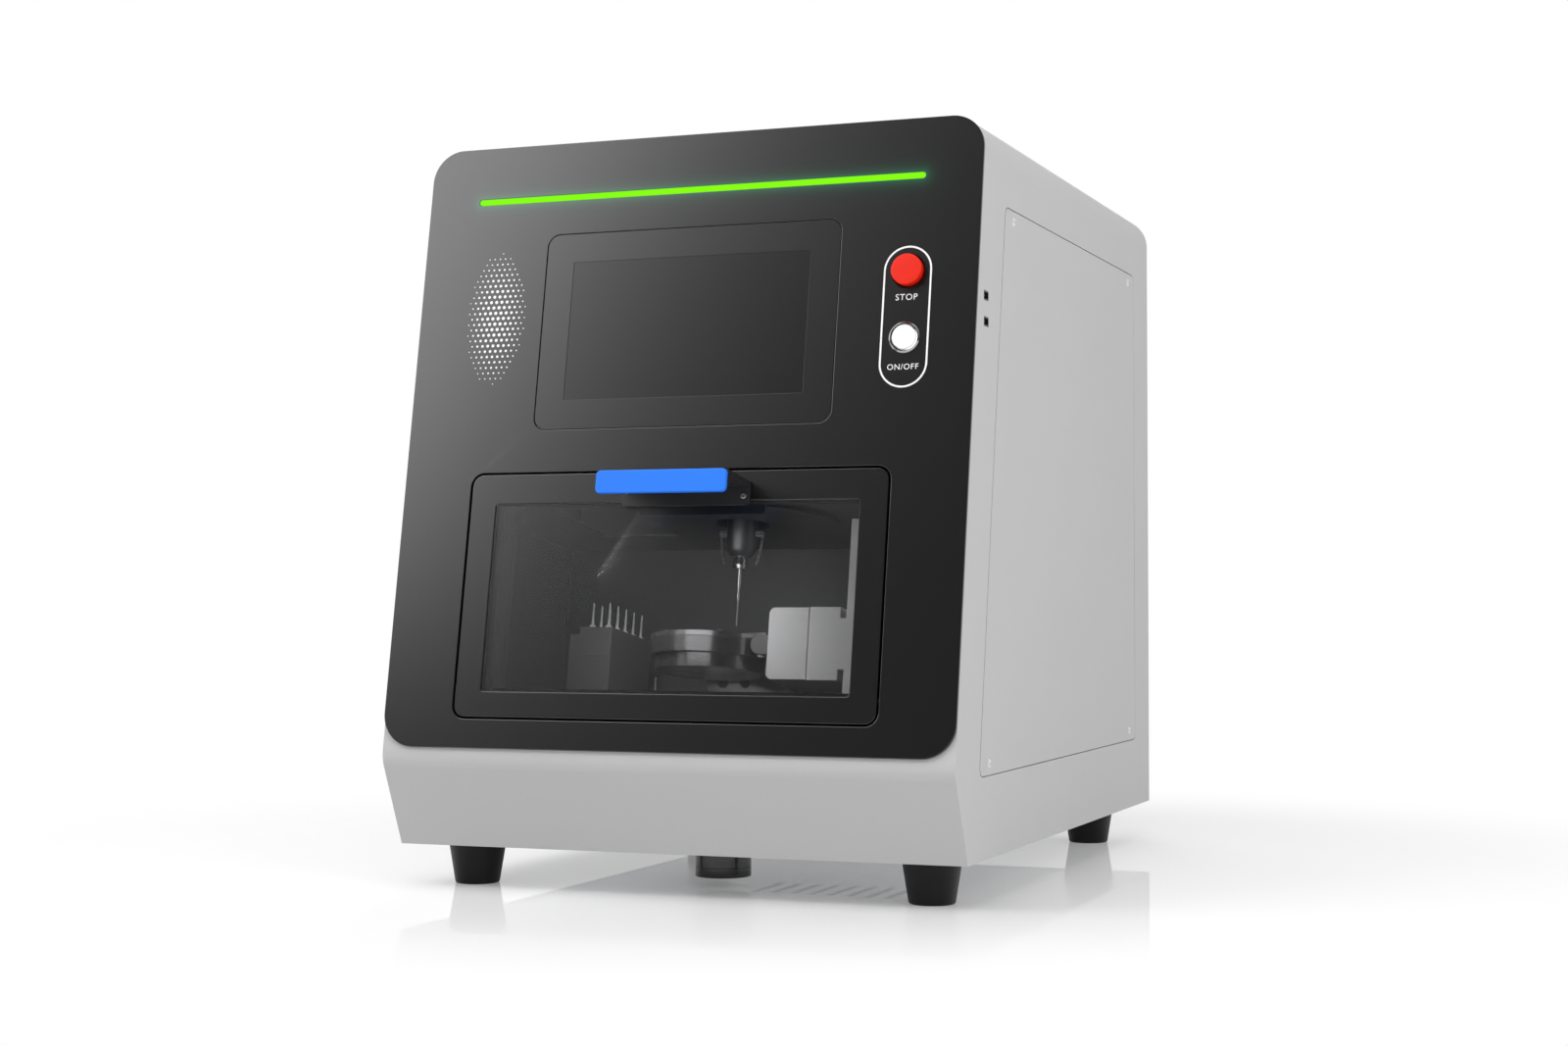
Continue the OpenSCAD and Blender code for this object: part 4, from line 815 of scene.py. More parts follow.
    def build(self, finish: Finish, body: Body, slot: str, replaces: Sequence[str] = ()) -> None:
        """Makes the object, turns its faces outwards and puts it on its body.

        Args:
            finish: its finish.
            body: the body that it rides on.
            slot: the record's material slot; not used.
            replaces: the nodes it stands for.
        """
        mesh = bpy.data.meshes.new(self.name)
        mesh.from_pydata(np.concatenate(self.points).tolist(), [], self.faces)
        shade = np.ones(len(mesh.polygons), bool)
        shade[self.flat] = False
        mesh.polygons.foreach_set("use_smooth", shade)
        settle(mesh, self.name, finish, body, replaces)


def settle(
    mesh: bpy.types.Mesh,
    name: str,
    finish: Finish,
    body: Body,
    replaces: Sequence[str] = (),
    smooth: float = 35.0,
) -> bpy.types.Object:
    """Turns a mesh outwards, shades it and puts it into the machine.

    Args:
        mesh: the mesh in metres.
        name: the object's name.
        finish: its finish.
        body: the body that it rides on.
        replaces: the nodes it stands for.
        smooth: edges sharper than this many degrees stay crisp.

    Returns:
        The object.
    """
    work = bmesh.new()
    work.from_mesh(mesh)
    bmesh.ops.remove_doubles(work, verts=work.verts, dist=SAME_POINT)
    bmesh.ops.recalc_face_normals(work, faces=work.faces)
    for edge in work.edges:
        kinds = {face.smooth for face in edge.link_faces}
        edge.smooth = len(kinds) == 1 and edge.calc_face_angle(0.0) < math.radians(smooth)
    for face in work.faces:
        face.smooth = True
    work.to_mesh(mesh)
    work.free()
    mesh.materials.clear()
    mesh.materials.append(finish.material())
    obj = bpy.data.objects.new(name, mesh)
    bpy.context.scene.collection.objects.link(obj)
    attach(obj, body.value)
    if replaces:
        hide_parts(*replaces)
    LOG.info("piece %s: %d faces, %s", name, len(mesh.polygons), finish.name)
    return obj


def softened(node: str, finish: Finish, body: Body, width: float, limit: float = 40.0) -> None:
    """Makes a merged copy of a node with its hard edges rounded, which stands for it.

    Args:
        node: the node.
        finish: its finish.
        body: the body that it rides on.
        width: width of the rounding in millimetres.
        limit: edges sharper than this many degrees are rounded.
    """
    work = bmesh.new()
    work.from_mesh(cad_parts[node].data)
    bmesh.ops.remove_doubles(work, verts=work.verts, dist=SAME_CAD_POINT)
    bmesh.ops.dissolve_limit(work, angle_limit=FLAT_ANGLE, verts=work.verts, edges=work.edges)
    mesh = bpy.data.meshes.new(node + "_soft")
    work.to_mesh(mesh)
    work.free()
    mesh.shade_smooth()
    obj = settle(mesh, node + "_soft", finish, body, (node,), limit)
    bevel = obj.modifiers.new("edges", "BEVEL")
    bevel.width = width * MM
    bevel.segments = 2
    bevel.limit_method = "ANGLE"
    bevel.angle_limit = math.radians(limit)
    bevel.harden_normals = True
    bevel.use_clamp_overlap = True


# ---------------------------------------------------------------- sub-assemblies


def arc(centre: Point, radius: float, start: float, end: float, steps: int) -> list[Point]:
    """Points of a circular arc.

    Args:
        centre: its middle.
        radius: its radius.
        start, end: angles in degrees.
        steps: number of points.

    Returns:
        The points.
    """
    turn = np.radians(np.linspace(start, end, steps))
    return [(centre[0] + radius * math.cos(a), centre[1] + radius * math.sin(a)) for a in turn]


def lifted(profile: Sequence[Point], base: float) -> list[Point]:
    """A profile (radius, height) whose heights are counted from a base."""
    return [(radius, base + height) for radius, height in profile]


def upright(x: Numbers, up: Numbers, y: Numbers) -> Array:
    """Places a turned shape whose axis is the cabinet's vertical: across, height, back."""
    return row(x, y, up)


def upslope(x: Numbers, up: Numbers, d: Numbers) -> Array:
    """Places a turned shape whose axis runs up the slope: across, height, depth."""
    return front(x, d, up)


def from_side(y: Numbers, out: Numbers, z: Numbers) -> Array:
    """Places a turned shape whose axis is the cabinet's right: back, outwards, up."""
    return row(out, y, z)


@dataclass
class FrontPanel:
    """The black fascia with the light bar and the screen."""

    half_w: float = 260.0
    length: float = 541.97
    corner: float = 29.0
    thick: float = 3.0
    edge: float = 0.5
    door: RoundRect = RoundRect(-194, 194, 25, 241.4, 12)
    screen: RoundRect = RoundRect(-137.5, 137.5, 279.5, 456.47, 11)
    screen_gap: float = 0.6
    screen_d: float = 0.3
    screen_back: float = 4.0
    screen_edge: float = 0.12
    lit: RoundRect = RoundRect(-111.35, 111.35, 305.35, 430.62, 0.4, 3)
    bar: RoundRect = RoundRect(-210, 210, 488.42, 493.52, 2.54)
    bar_gap: float = 0.15
    bar_proud: float = 0.4
    stop_hole: Ring = Ring(199, 407.685, 14.6)
    power_hole: Ring = Ring(199, 349.985, 12.6)

    def build(self) -> None:
        """Makes the plate, the screen border and the bar."""
        outer = RoundRect(-self.half_w, self.half_w, 0, self.length, self.corner, 20)
        around = self.screen.grown(self.screen_gap)
        slot = self.bar.grown(self.bar_gap)
        holes = (self.door, around, slot, self.stop_hole, self.power_hole)
        plate = Piece("fascia_plate").plate(outer, 0, self.thick, self.edge, holes)
        plate.build(BLACK_PANEL_WITH_PAINTED_GLOW, Body.CABINET, "black_gloss", ("front_fascia",))
        depths = (self.screen_d, self.screen_back)
        border = Piece("screen_border").plate(self.screen, *depths, self.screen_edge, (self.lit,))
        border.build(BLACK_SCREEN, Body.CABINET, "black_gloss", ("display_bezel",))
        bar = Piece("light_bar_lens").plate(self.bar, -self.bar_proud, self.thick, self.edge)
        bar.build(GREEN, Body.CABINET, "green_light", ("light_bar",))


@dataclass(frozen=True)
class Label:
    """A word on the fascia: its text, the middle of its baseline and the height of its type."""

    text: str
    x: float
    s: float
    size: float


@dataclass
class Inkwork:
    """White print on the fascia: the frame round the buttons, two plain labels and a field of dots."""

    line: float = 1.6
    outer: RoundRect = RoundRect(177.8, 220.0, 307.1, 429.3, 21.05, 20)
    thick: float = 0.05
    root: float = 0.2
    frame_edge: float = 0.01
    labels: tuple[Label, ...] = (Label("STOP", 198.9, 382.3, 7.6), Label("ON/OFF", 198.8, 322.5, 7.0))
    spacing: float = 1.12
    curve_steps: int = 4
    dots_x: Span = (-213.0, -156.0)
    dots_s: Span = (322.0, 442.0)
    columns: int = 12
    rows: int = 25
    dot: float = 1.6
    dot_fall: float = 0.68
    dot_least: float = 0.5

    def build(self) -> None:
        """Makes the frame, the labels and the dots."""
        inner = self.outer.grown(-self.line)
        ring = Piece("button_frame").plate(self.outer, -self.thick, self.root, self.frame_edge, (inner,), 1)
        ring.build(INK, Body.CABINET, "white_plastic")
        for label in self.labels:
            self.lettering(label)
        self.dots()

    def lettering(self, label: Label) -> None:
        """Makes a label as flat raised letters.

        Args:
            label: the word with its place and size.
        """
        curve = bpy.data.curves.new("label", "FONT")
        curve.body = label.text
        curve.size = label.size
        curve.align_x = "CENTER"
        curve.extrude = self.thick
        curve.resolution_u = self.curve_steps
        curve.space_character = self.spacing
        source = bpy.data.objects.new("label", curve)
        bpy.context.scene.collection.objects.link(source)
        mesh = bpy.data.meshes.new_from_object(source.evaluated_get(bpy.context.evaluated_depsgraph_get()))
        flat = np.empty(len(mesh.vertices) * 3)
        mesh.vertices.foreach_get("co", flat)
        flat = flat.reshape(-1, 3)
        points = front(label.x + flat[:, 0], -flat[:, 2], label.s + flat[:, 1])
        mesh.vertices.foreach_set("co", points.ravel())
        bpy.data.objects.remove(source)
        mesh.shade_flat()
        name = "label_" + "".join(c for c in label.text if c.isalpha()).lower()
        settle(mesh, name, INK, Body.CABINET)

    def dots(self) -> None:
        """Makes an oval field of staggered dots: radius = dot (1 - fall r^2), with r = 1 on the oval."""
        spots = Piece("dot_field")
        i, j = np.meshgrid(np.arange(self.columns), np.arange(self.rows), indexing="ij")
        across, up = i / (self.columns - 1), j / (self.rows - 1)
        x = self.dots_x[0] + (self.dots_x[1] - self.dots_x[0]) * (across + (j % 2) * 0.5 / self.columns)
        s = self.dots_s[0] + (self.dots_s[1] - self.dots_s[0]) * up
        off = (2 * across - 1 + (j % 2 - 0.5) / self.columns) ** 2 + (2 * up - 1) ** 2
        radii = self.dot * (1 - self.dot_fall * off)
        for cx, cs, radius in zip(x.ravel().tolist(), s.ravel().tolist(), radii.ravel().tolist()):
            if radius > self.dot_least:
                spots.turned(((radius, self.root), (radius, -self.thick)), front, 12, (cx, cs))
        spots.build(INK, Body.CABINET, "white_plastic")


@dataclass
class Controls:
    """The emergency stop and the power button."""

    x: float = 199.0
    stop_s: float = 407.685
    power_s: float = 349.985
    stop_r: float = 13.4
    stop_proud: float = 5.5
    stop_skirt: tuple[Point, ...] = ((-0.6, 2.0), (0.0, 1.4))
    stop_crown: tuple[Point, ...] = ((-3.0, -0.05), (-7.0, -0.12), (-11.0, -0.16), (-13.0, -0.17))
    edge: float = 0.5
    ring_r: float = 13.6
    ring_in: float = 10.6
    ring_face: tuple[Point, ...] = ((-1.5, -1.95), (-0.5, -1.2))
    lip: float = 0.5
    lip_d: float = -1.3
    bore_d: float = -0.6
    neck: float = 1.3
    well: float = 11.9
    barrel: float = 24.0
    tail_r: float = 8.0
    tail: float = 34.0
    core_r: float = 0.5
    cap_r: float = 10.1
    cap_proud: float = 3.0
    cap_skirt: float = 9.6
    cap_edge: float = 1.0
    cap_crown: tuple[Point, ...] = ((-4.0, -0.08), (-9.7, -0.12))

    def build(self) -> None:
        """Makes the head, the ring and the cap."""
        self.stop()
        self.power()

    def stop(self) -> None:
        """A flat red head with a soft edge and a very low crown."""
        r = self.stop_r
        top = -self.stop_proud
        profile = [(r + step, depth) for step, depth in self.stop_skirt]
        profile += arc((r - self.edge, top + self.edge), self.edge, 0, -90, 7)
        profile += [(r + step, top + rise) for step, rise in self.stop_crown]
        head = Piece("stop_head_cap").turned(profile, front, 72, (self.x, self.stop_s))
        head.build(RED, Body.STOP_HEAD, "red_plastic", ("estop_head",))

    def power(self) -> None:
        """A polished ring with a sloping face round a white cap."""
        r = self.ring_r
        lip = self.lip
        neck = r - self.neck
        ring = [(self.ring_in, self.well), (self.ring_in, self.bore_d)]
        ring += arc((self.ring_in + lip, self.lip_d), lip, 180, 270, 4)
        ring += [(r + step, depth) for step, depth in self.ring_face]
        ring += arc((r - lip, -lip), lip, -60, 0, 4)
        ring += [(r, 0.0), (neck, 0.0), (neck, self.barrel), (self.tail_r, self.barrel)]
        ring += [(self.tail_r, self.tail), (self.core_r, self.tail), (self.core_r, self.well)]
        ring.append((self.ring_in, self.well))
        piece = Piece("power_ring").turned(ring, front, 72, (self.x, self.power_s))
        piece.build(BUTTON_RING, Body.CABINET, "bright_steel", ("power_switch_body",))
        top = -self.cap_proud
        e = self.cap_edge
        cap = [(self.cap_r, self.cap_skirt)] + arc((self.cap_r - e, top + e), e, 0, -90, 6)
        cap += [(self.cap_r + step, top + rise) for step, rise in self.cap_crown]
        button = Piece("power_cap_lens").turned(cap, front, 64, (self.x, self.power_s))
        button.build(WHITE, Body.POWER_CAP, "white_plastic", ("power_button_cap",))


@dataclass
class Door:
    """The door: plate, window, inner frame, handle and its screws."""

    outline: RoundRect = RoundRect(-192, 192, 27, 239.4, 10, 14)
    window: RoundRect = RoundRect(-168, 168, 49, 213.7, 3, 8)
    fit: float = 0.2
    thick: float = 3.0
    edge: float = 0.5
    pane_d: Span = (0.3, 4.0)
    pane_edge: float = 0.3
    grip: RoundRect = RoundRect(-46.95, 70.55, 209.4, 229.0, 4, 10)
    grip_d: Span = (-56.0, -52.03)
    grip_edges: Span = (0.9, 0.4)
    screws: tuple[Point, ...] = ((-41.95, 222.3), (65.55, 216.8))
    screw_d: float = -3.0
    screw_neck: tuple[Point, ...] = ((1.5, 3.0), (1.5, 0.02), (2.6, 0.0))
    screw_r: float = 1.9
    screw_edge: float = 0.7
    screw_socket: tuple[Point, ...] = ((1.25, -1.4), (1.1, -0.5), (0.2, -0.45))

    def build(self) -> None:
        """Makes the door's pieces."""
        plate = Piece("door_plate").plate(self.outline, 0, self.thick, self.edge, (self.window,))
        plate.build(BLACK_DOOR, Body.DOOR, "black_gloss", ("door_panel",))
        w = self.window
        pane = RoundRect(w.x0 + self.fit, w.x1 - self.fit, w.z0 + self.fit, w.z1 - self.fit, w.r)
        glass = Piece("window_pane").plate(pane, *self.pane_d, self.pane_edge)
        glass.build(WINDOW, Body.DOOR, "smoked_glass", ("door_window",))
        softened("door_frame", BLACK_PLASTIC, Body.DOOR, width=0.8)
        softened("handle_bracket", BLACK_SHEET, Body.DOOR, width=0.6)
        face_edge, back_edge = self.grip_edges
        grip = Piece("grip_face").plate(self.grip, *self.grip_d, face_edge, back_edge=back_edge)
        grip.build(BLUE, Body.DOOR, "blue_paint", ("grip_plate",))
        self.fasteners()

    def fasteners(self) -> None:
        """Two pan-head screws with a socket."""
        heads = Piece("grip_screws")
        profile = lifted(self.screw_neck, self.screw_d)
        profile += arc((self.screw_r, self.screw_d - self.screw_edge), self.screw_edge, 0, -90, 5)
        profile += lifted(self.screw_socket, self.screw_d)
        for centre in self.screws:
            heads.turned(profile, front, 24, centre)
        heads.build(STEEL, Body.DOOR, "screw_steel", ("handle_screws",))


@dataclass
class MillingRoom:
    """What is seen through the window, apart from the rotary unit and the spindle."""

    mag_x: float = -139.0
    mag_d: float = 160.0
    mag_s: float = 131.0
    first_d: float = 9.0
    step_x: float = 16.4
    step_d: float = 18.1
    rows: int = 5
    bur: tuple[Point, ...] = (
        (1.5, -11.0), (1.5, 0.3), (2.8, 0.35), (2.8, 2.8), (2.5, 3.0), (1.2, 3.1), (1.1, 8.0), (0.85, 9.0),
        (0.85, 17.0), (0.7, 17.5), (0.7, 23.0), (0.4, 23.8), (0.15, 24.0),
    )

    def build(self) -> None:
        """Dresses the magazine, its burs, the sensor and the latch."""
        softened("bur_magazine", MAGAZINE, Body.CABINET, width=0.15)
        softened("sensor_body", DARK_STEEL, Body.CABINET, width=0.6)
        softened("sensor_pin", CHROME, Body.SENSOR, width=0.5)
        softened("latch_plate", DARK_STEEL, Body.CABINET, width=0.4)
        softened("ceiling_cover", BLACK_SHEET, Body.X_SLIDER, width=0.6)
        self.burs()

    def burs(self) -> None:
        """Shanks with a depth ring and a stepped, tapering working end."""
        profile = lifted(self.bur, self.mag_s)
        burs = Piece("stored_burs")
        for side in (-1, 1):
            for k in range(self.rows):
                centre = (self.mag_x + side * self.step_x / 2, self.mag_d + self.first_d + k * self.step_d)
                burs.turned(profile, upslope, 20, centre)
        burs.build(BUR_STEEL, Body.CABINET, "bright_steel", ("magazine_burs",))


@dataclass
class RotaryUnit:
    """Housing, head, blank ring and clamp ring with rounded edges."""

    def build(self) -> None:
        """Dresses the unit's pieces."""
        softened("rotary_housing", CAST, Body.CABINET, width=0.9)
        softened("rotary_head", HEAD, Body.A_ROTOR, width=0.9)
        softened("blank_holder", HOLDER, Body.B_HOLDER, width=0.5)
        softened("clamp_ring", CLAMP, Body.B_HOLDER, width=0.5)
        softened("clamp_screws", DARK_STEEL, Body.B_HOLDER, width=0.25)


@dataclass
class Spindle:
    """The tool end of the spindle: nose, collet nut, cutter and air tubes."""

    axis_d: float = 160.0
    collet_s: float = 184.4
    nose_s: float = 195.4
    tip_s: float = 132.2
    nose_r: float = 14.0
    nut: tuple[Point, ...] = (
        (4.9, 0.0), (5.6, 0.4), (6.4, 2.8), (6.5, 3.2), (6.5, 4.2), (5.9, 4.4), (5.9, 5.0), (6.5, 5.2),
    )
    nut_top: tuple[Point, ...] = ((6.5, -2.4), (6.2, -2.0), (5.0, -2.0), (5.0, 36.0))
    cutter: tuple[Point, ...] = (
        (2.0, 18.0), (2.0, -16.4), (1.8, -17.0), (1.1, -17.3), (1.1, -21.6), (1.7, -22.0), (1.7, -27.2),
        (1.4, -28.0), (0.75, -29.0),
    )
    cutter_tip: tuple[Point, ...] = ((0.7, 1.0), (0.3, 0.1))
    tube_out: float = 6.0
    tube_r: float = 1.25
    tube_s: Span = (24.0, 31.0)
    tube_bend: float = 4.6
    bend_power: float = 2.2
    clamp_s: Span = (19.0, 24.0)
    clamp_over: float = 1.6
    clamp_in: float = 1.0
    clamp_half: float = 2.5
    clamp_corner: float = 1.2
    clamp_edge: float = 0.4

    def build(self) -> None:
        """Makes the spindle's pieces."""
        softened("spindle_body", DARK_STEEL, Body.Z_SLIDER, width=0.7)
        nut = lifted(self.nut, self.collet_s) + lifted(self.nut_top, self.nose_s)
        piece = Piece("collet_nut_turned").turned(nut, upslope, 48, (0, self.axis_d))
        piece.build(CHROME, Body.SPINDLE, "bright_steel", ("collet_nut",))
        cutter = lifted(self.cutter, self.collet_s) + lifted(self.cutter_tip, self.tip_s)
        piece = Piece("cutter_turned").turned(cutter, upslope, 32, (0, self.axis_d))
        piece.build(CHROME, Body.SPINDLE, "bright_steel", ("milling_cutter",))
        self.tubes()

    def tubes(self) -> None:
        """Two clamped air tubes beside the nose: along the drop t, each bends inwards by bend t^power."""
        tubes = Piece("air_tubes")
        t = np.linspace(0, 1, 16)
        start, drop = self.tube_s
        low, high = (self.nose_s + s for s in self.clamp_s)
        for side in (-1, 1):
            x = side * (self.nose_r + self.tube_out)
            bend = x - side * self.tube_bend * t ** self.bend_power
            path = front(bend, self.axis_d, self.nose_s + start - drop * t)
            tubes.tube(path, self.tube_r * MM, 14)
            ends = sorted((x + side * self.clamp_over, side * (self.nose_r - self.clamp_in)))
            clamp = RoundRect(*ends, low, high, self.clamp_corner, 5)
            near, far = self.axis_d - self.clamp_half, self.axis_d + self.clamp_half
            tubes.plate(clamp, near, far, self.clamp_edge, back_edge=self.clamp_edge)
        tubes.build(STEEL, Body.Z_SLIDER, "bright_steel", ("air_nozzles",))


@dataclass
class Underside:
    """Feet and spigot."""

    feet: tuple[Point, ...] = ((-213, 89.6), (213, 89.6), (-213, 632.6), (213, 632.6))
    foot_h: float = 38.0
    r0: float = 20.0
    r1: float = 25.5
    band: float = 3.0
    band_edge: Span = (0.25, 0.4)
    toe: float = 2.4
    hole_r: float = 3.1
    sole: tuple[Point, ...] = ((0.0, 5.9), (0.0, 0.35), (0.4, 0.0))
    sole_top: float = 6.0
    spigot_y: float = 150.0
    spigot_r: float = 25.0
    spigot_z: float = 8.0
    spigot_top: float = 119.0
    wall: float = 1.5
    inner_s: float = 0.7
    groove: tuple[Point, ...] = ((0.0, 8.0), (-0.25, 8.3), (-0.25, 8.9), (0.0, 9.2), (0.0, 29.0))

    def build(self) -> None:
        """Makes the feet and the spigot."""
        lean = math.degrees(math.atan2(self.r1 - self.r0, self.foot_h - self.band))
        foot = [(self.hole_r, self.foot_h), (self.hole_r, self.sole_top)]
        foot += [(self.r0 / 2 + step, height) for step, height in self.sole]
        foot += arc((self.r0 - self.toe, self.toe), self.toe, -90, -lean, 7)
        inset, drop = self.band_edge
        foot += [(self.r1 - inset, self.foot_h - self.band - drop), (self.r1, self.foot_h - self.band)]
        foot += [(self.r1, self.foot_h), (self.hole_r, self.foot_h)]
        feet = Piece("rubber_feet")
        for centre in self.feet:
            feet.turned(foot, upright, 64, centre)
        feet.build(RUBBER, Body.CABINET, "foot_rubber", ("feet",))
        r = self.spigot_r
        z = self.spigot_z
        half = self.wall / 2
        tube = [(r - self.wall, self.spigot_top), (r - self.wall, z + self.inner_s)]
        tube += arc((r - half, z + half), half, 180, 360, 7)
        tube += [(r + step, z + height) for step, height in self.groove]
        tube += [(r, self.spigot_top), (r - self.wall, self.spigot_top)]
        spigot = Piece("spigot_tube").turned(tube, upright, 72, (0, self.spigot_y))
        spigot.build(SPIGOT, Body.CABINET, "zinc_sheet", ("dust_spigot",))


@dataclass
class Cabinet:
    """Sheet-metal pieces with soft edges, and the sockets and screws in them."""

    half_w: float = 260.0
    screws: tuple[Point, ...] = ((97.75, 117.0), (617.4, 117.0), (617.4, 580.1), (178.55, 580.1))
    side_head: tuple[Point, ...] = (
        (2.0, -8.0), (2.0, 0.0), (4.0, 0.0), (3.7, 0.7), (2.9, 1.25), (1.6, 1.4), (1.45, 0.5), (0.2, 0.45),
    )
    rear_x: float = 251.0
    rear_y: float = 712.0
    rear_z: tuple[float, ...] = (70.0, 250.0, 450.0, 570.0)
    rear_head: tuple[Point, ...] = (
        (2.0, -9.0), (2.0, 0.0), (3.6, 0.0), (3.3, 0.8), (2.6, 1.3), (1.5, 1.4), (1.35, 0.6), (0.2, 0.55),
    )

    def build(self) -> None:
        """Dresses the panels and makes the screws."""
        # The access panels get painted shade on their seam faces.
        softened("left_access_panel", PANEL_PAINT_AND_SEAM_SHADE, Body.CABINET, width=0.35)
        softened("right_access_panel", PANEL_PAINT_AND_SEAM_SHADE, Body.CABINET, width=0.35)
        softened("usb_ports", USB, Body.CABINET, width=0.15)
        self.fasteners()

    def fasteners(self) -> None:
        """Low countersunk heads at the panels' corners and round the back."""
        heads = Piece("panel_screws")
        for side in (-1, 1):
            profile = [(radius, side * height) for radius, height in lifted(self.side_head, self.half_w)]
            for centre in self.screws:
                heads.turned(profile, from_side, 28, centre)
        profile = lifted(self.rear_head, self.rear_y)
        for x in (-self.rear_x, self.rear_x):
            for z in self.rear_z:
                heads.turned(profile, row, 24, (x, z))
        heads.build(SCREW, Body.CABINET, "screw_steel", ("cabinet_screws",))


@dataclass
class RearSide:
    """Inlet, rocker, fan and air fitting."""

    def build(self) -> None:
        """Dresses the pieces of the rear face."""
        softened("mains_inlet", BLACK_PLASTIC, Body.CABINET, width=0.5)
        softened("rocker_switch", RED, Body.ROCKER, width=0.6)
        softened("air_fitting", BRASS, Body.CABINET, width=0.5)


class Assembly(Protocol):
    """Anything that makes its pieces by itself."""

    def build(self) -> None:
        """Makes the pieces."""


@dataclass
class Machine:
    """The whole machine, in the order in which it is put together."""

    parts: tuple[Assembly, ...] = (
        FrontPanel(), Inkwork(), Controls(), Door(), MillingRoom(), RotaryUnit(), Spindle(), Underside(),
        Cabinet(), RearSide(),
    )

    def build(self) -> None:
        """Builds every sub-assembly."""
        for part in self.parts:
            part.build()
            LOG.info("%s done", type(part).__name__)


# ---------------------------------------------------------------- stage


def spot(x: float, d: float, s: float) -> Triple:
    """One point of front space, in metres."""
    return tuple(front(x, d, s)[0].tolist())


@dataclass(frozen=True)
class Softbox:
    """A square area lamp that faces a point; it lights by diffuse rays, or shows in gloss, or both."""

    name: str
    at: Triple
    aim: Triple
    size: float
    power: float
    shows: bool = False
    lights: bool = True

    def build(self, floor: bpy.types.Object) -> None:
        """Makes the lamp; one that shows in gloss isn't mirrored by the floor.

        Args:
            floor: the floor of the stage.
        """
        data = bpy.data.lights.new(self.name, "AREA")
        data.size = self.size
        data.energy = self.power
        lamp = bpy.data.objects.new(self.name, data)
        lamp.location = self.at
        lamp.rotation_euler = (Vector(self.aim) - Vector(self.at)).to_track_quat("-Z", "Y").to_euler()
        lamp.visible_camera = False
        lamp.visible_glossy = self.shows
        lamp.visible_diffuse = self.lights
        bpy.context.scene.collection.objects.link(lamp)
        if self.shows:
            spared = bpy.data.collections.new(f"spared by {self.name}")
            spared.objects.link(floor)
            spared.collection_objects[0].light_linking.link_state = "EXCLUDE"
            lamp.light_linking.receiver_collection = spared


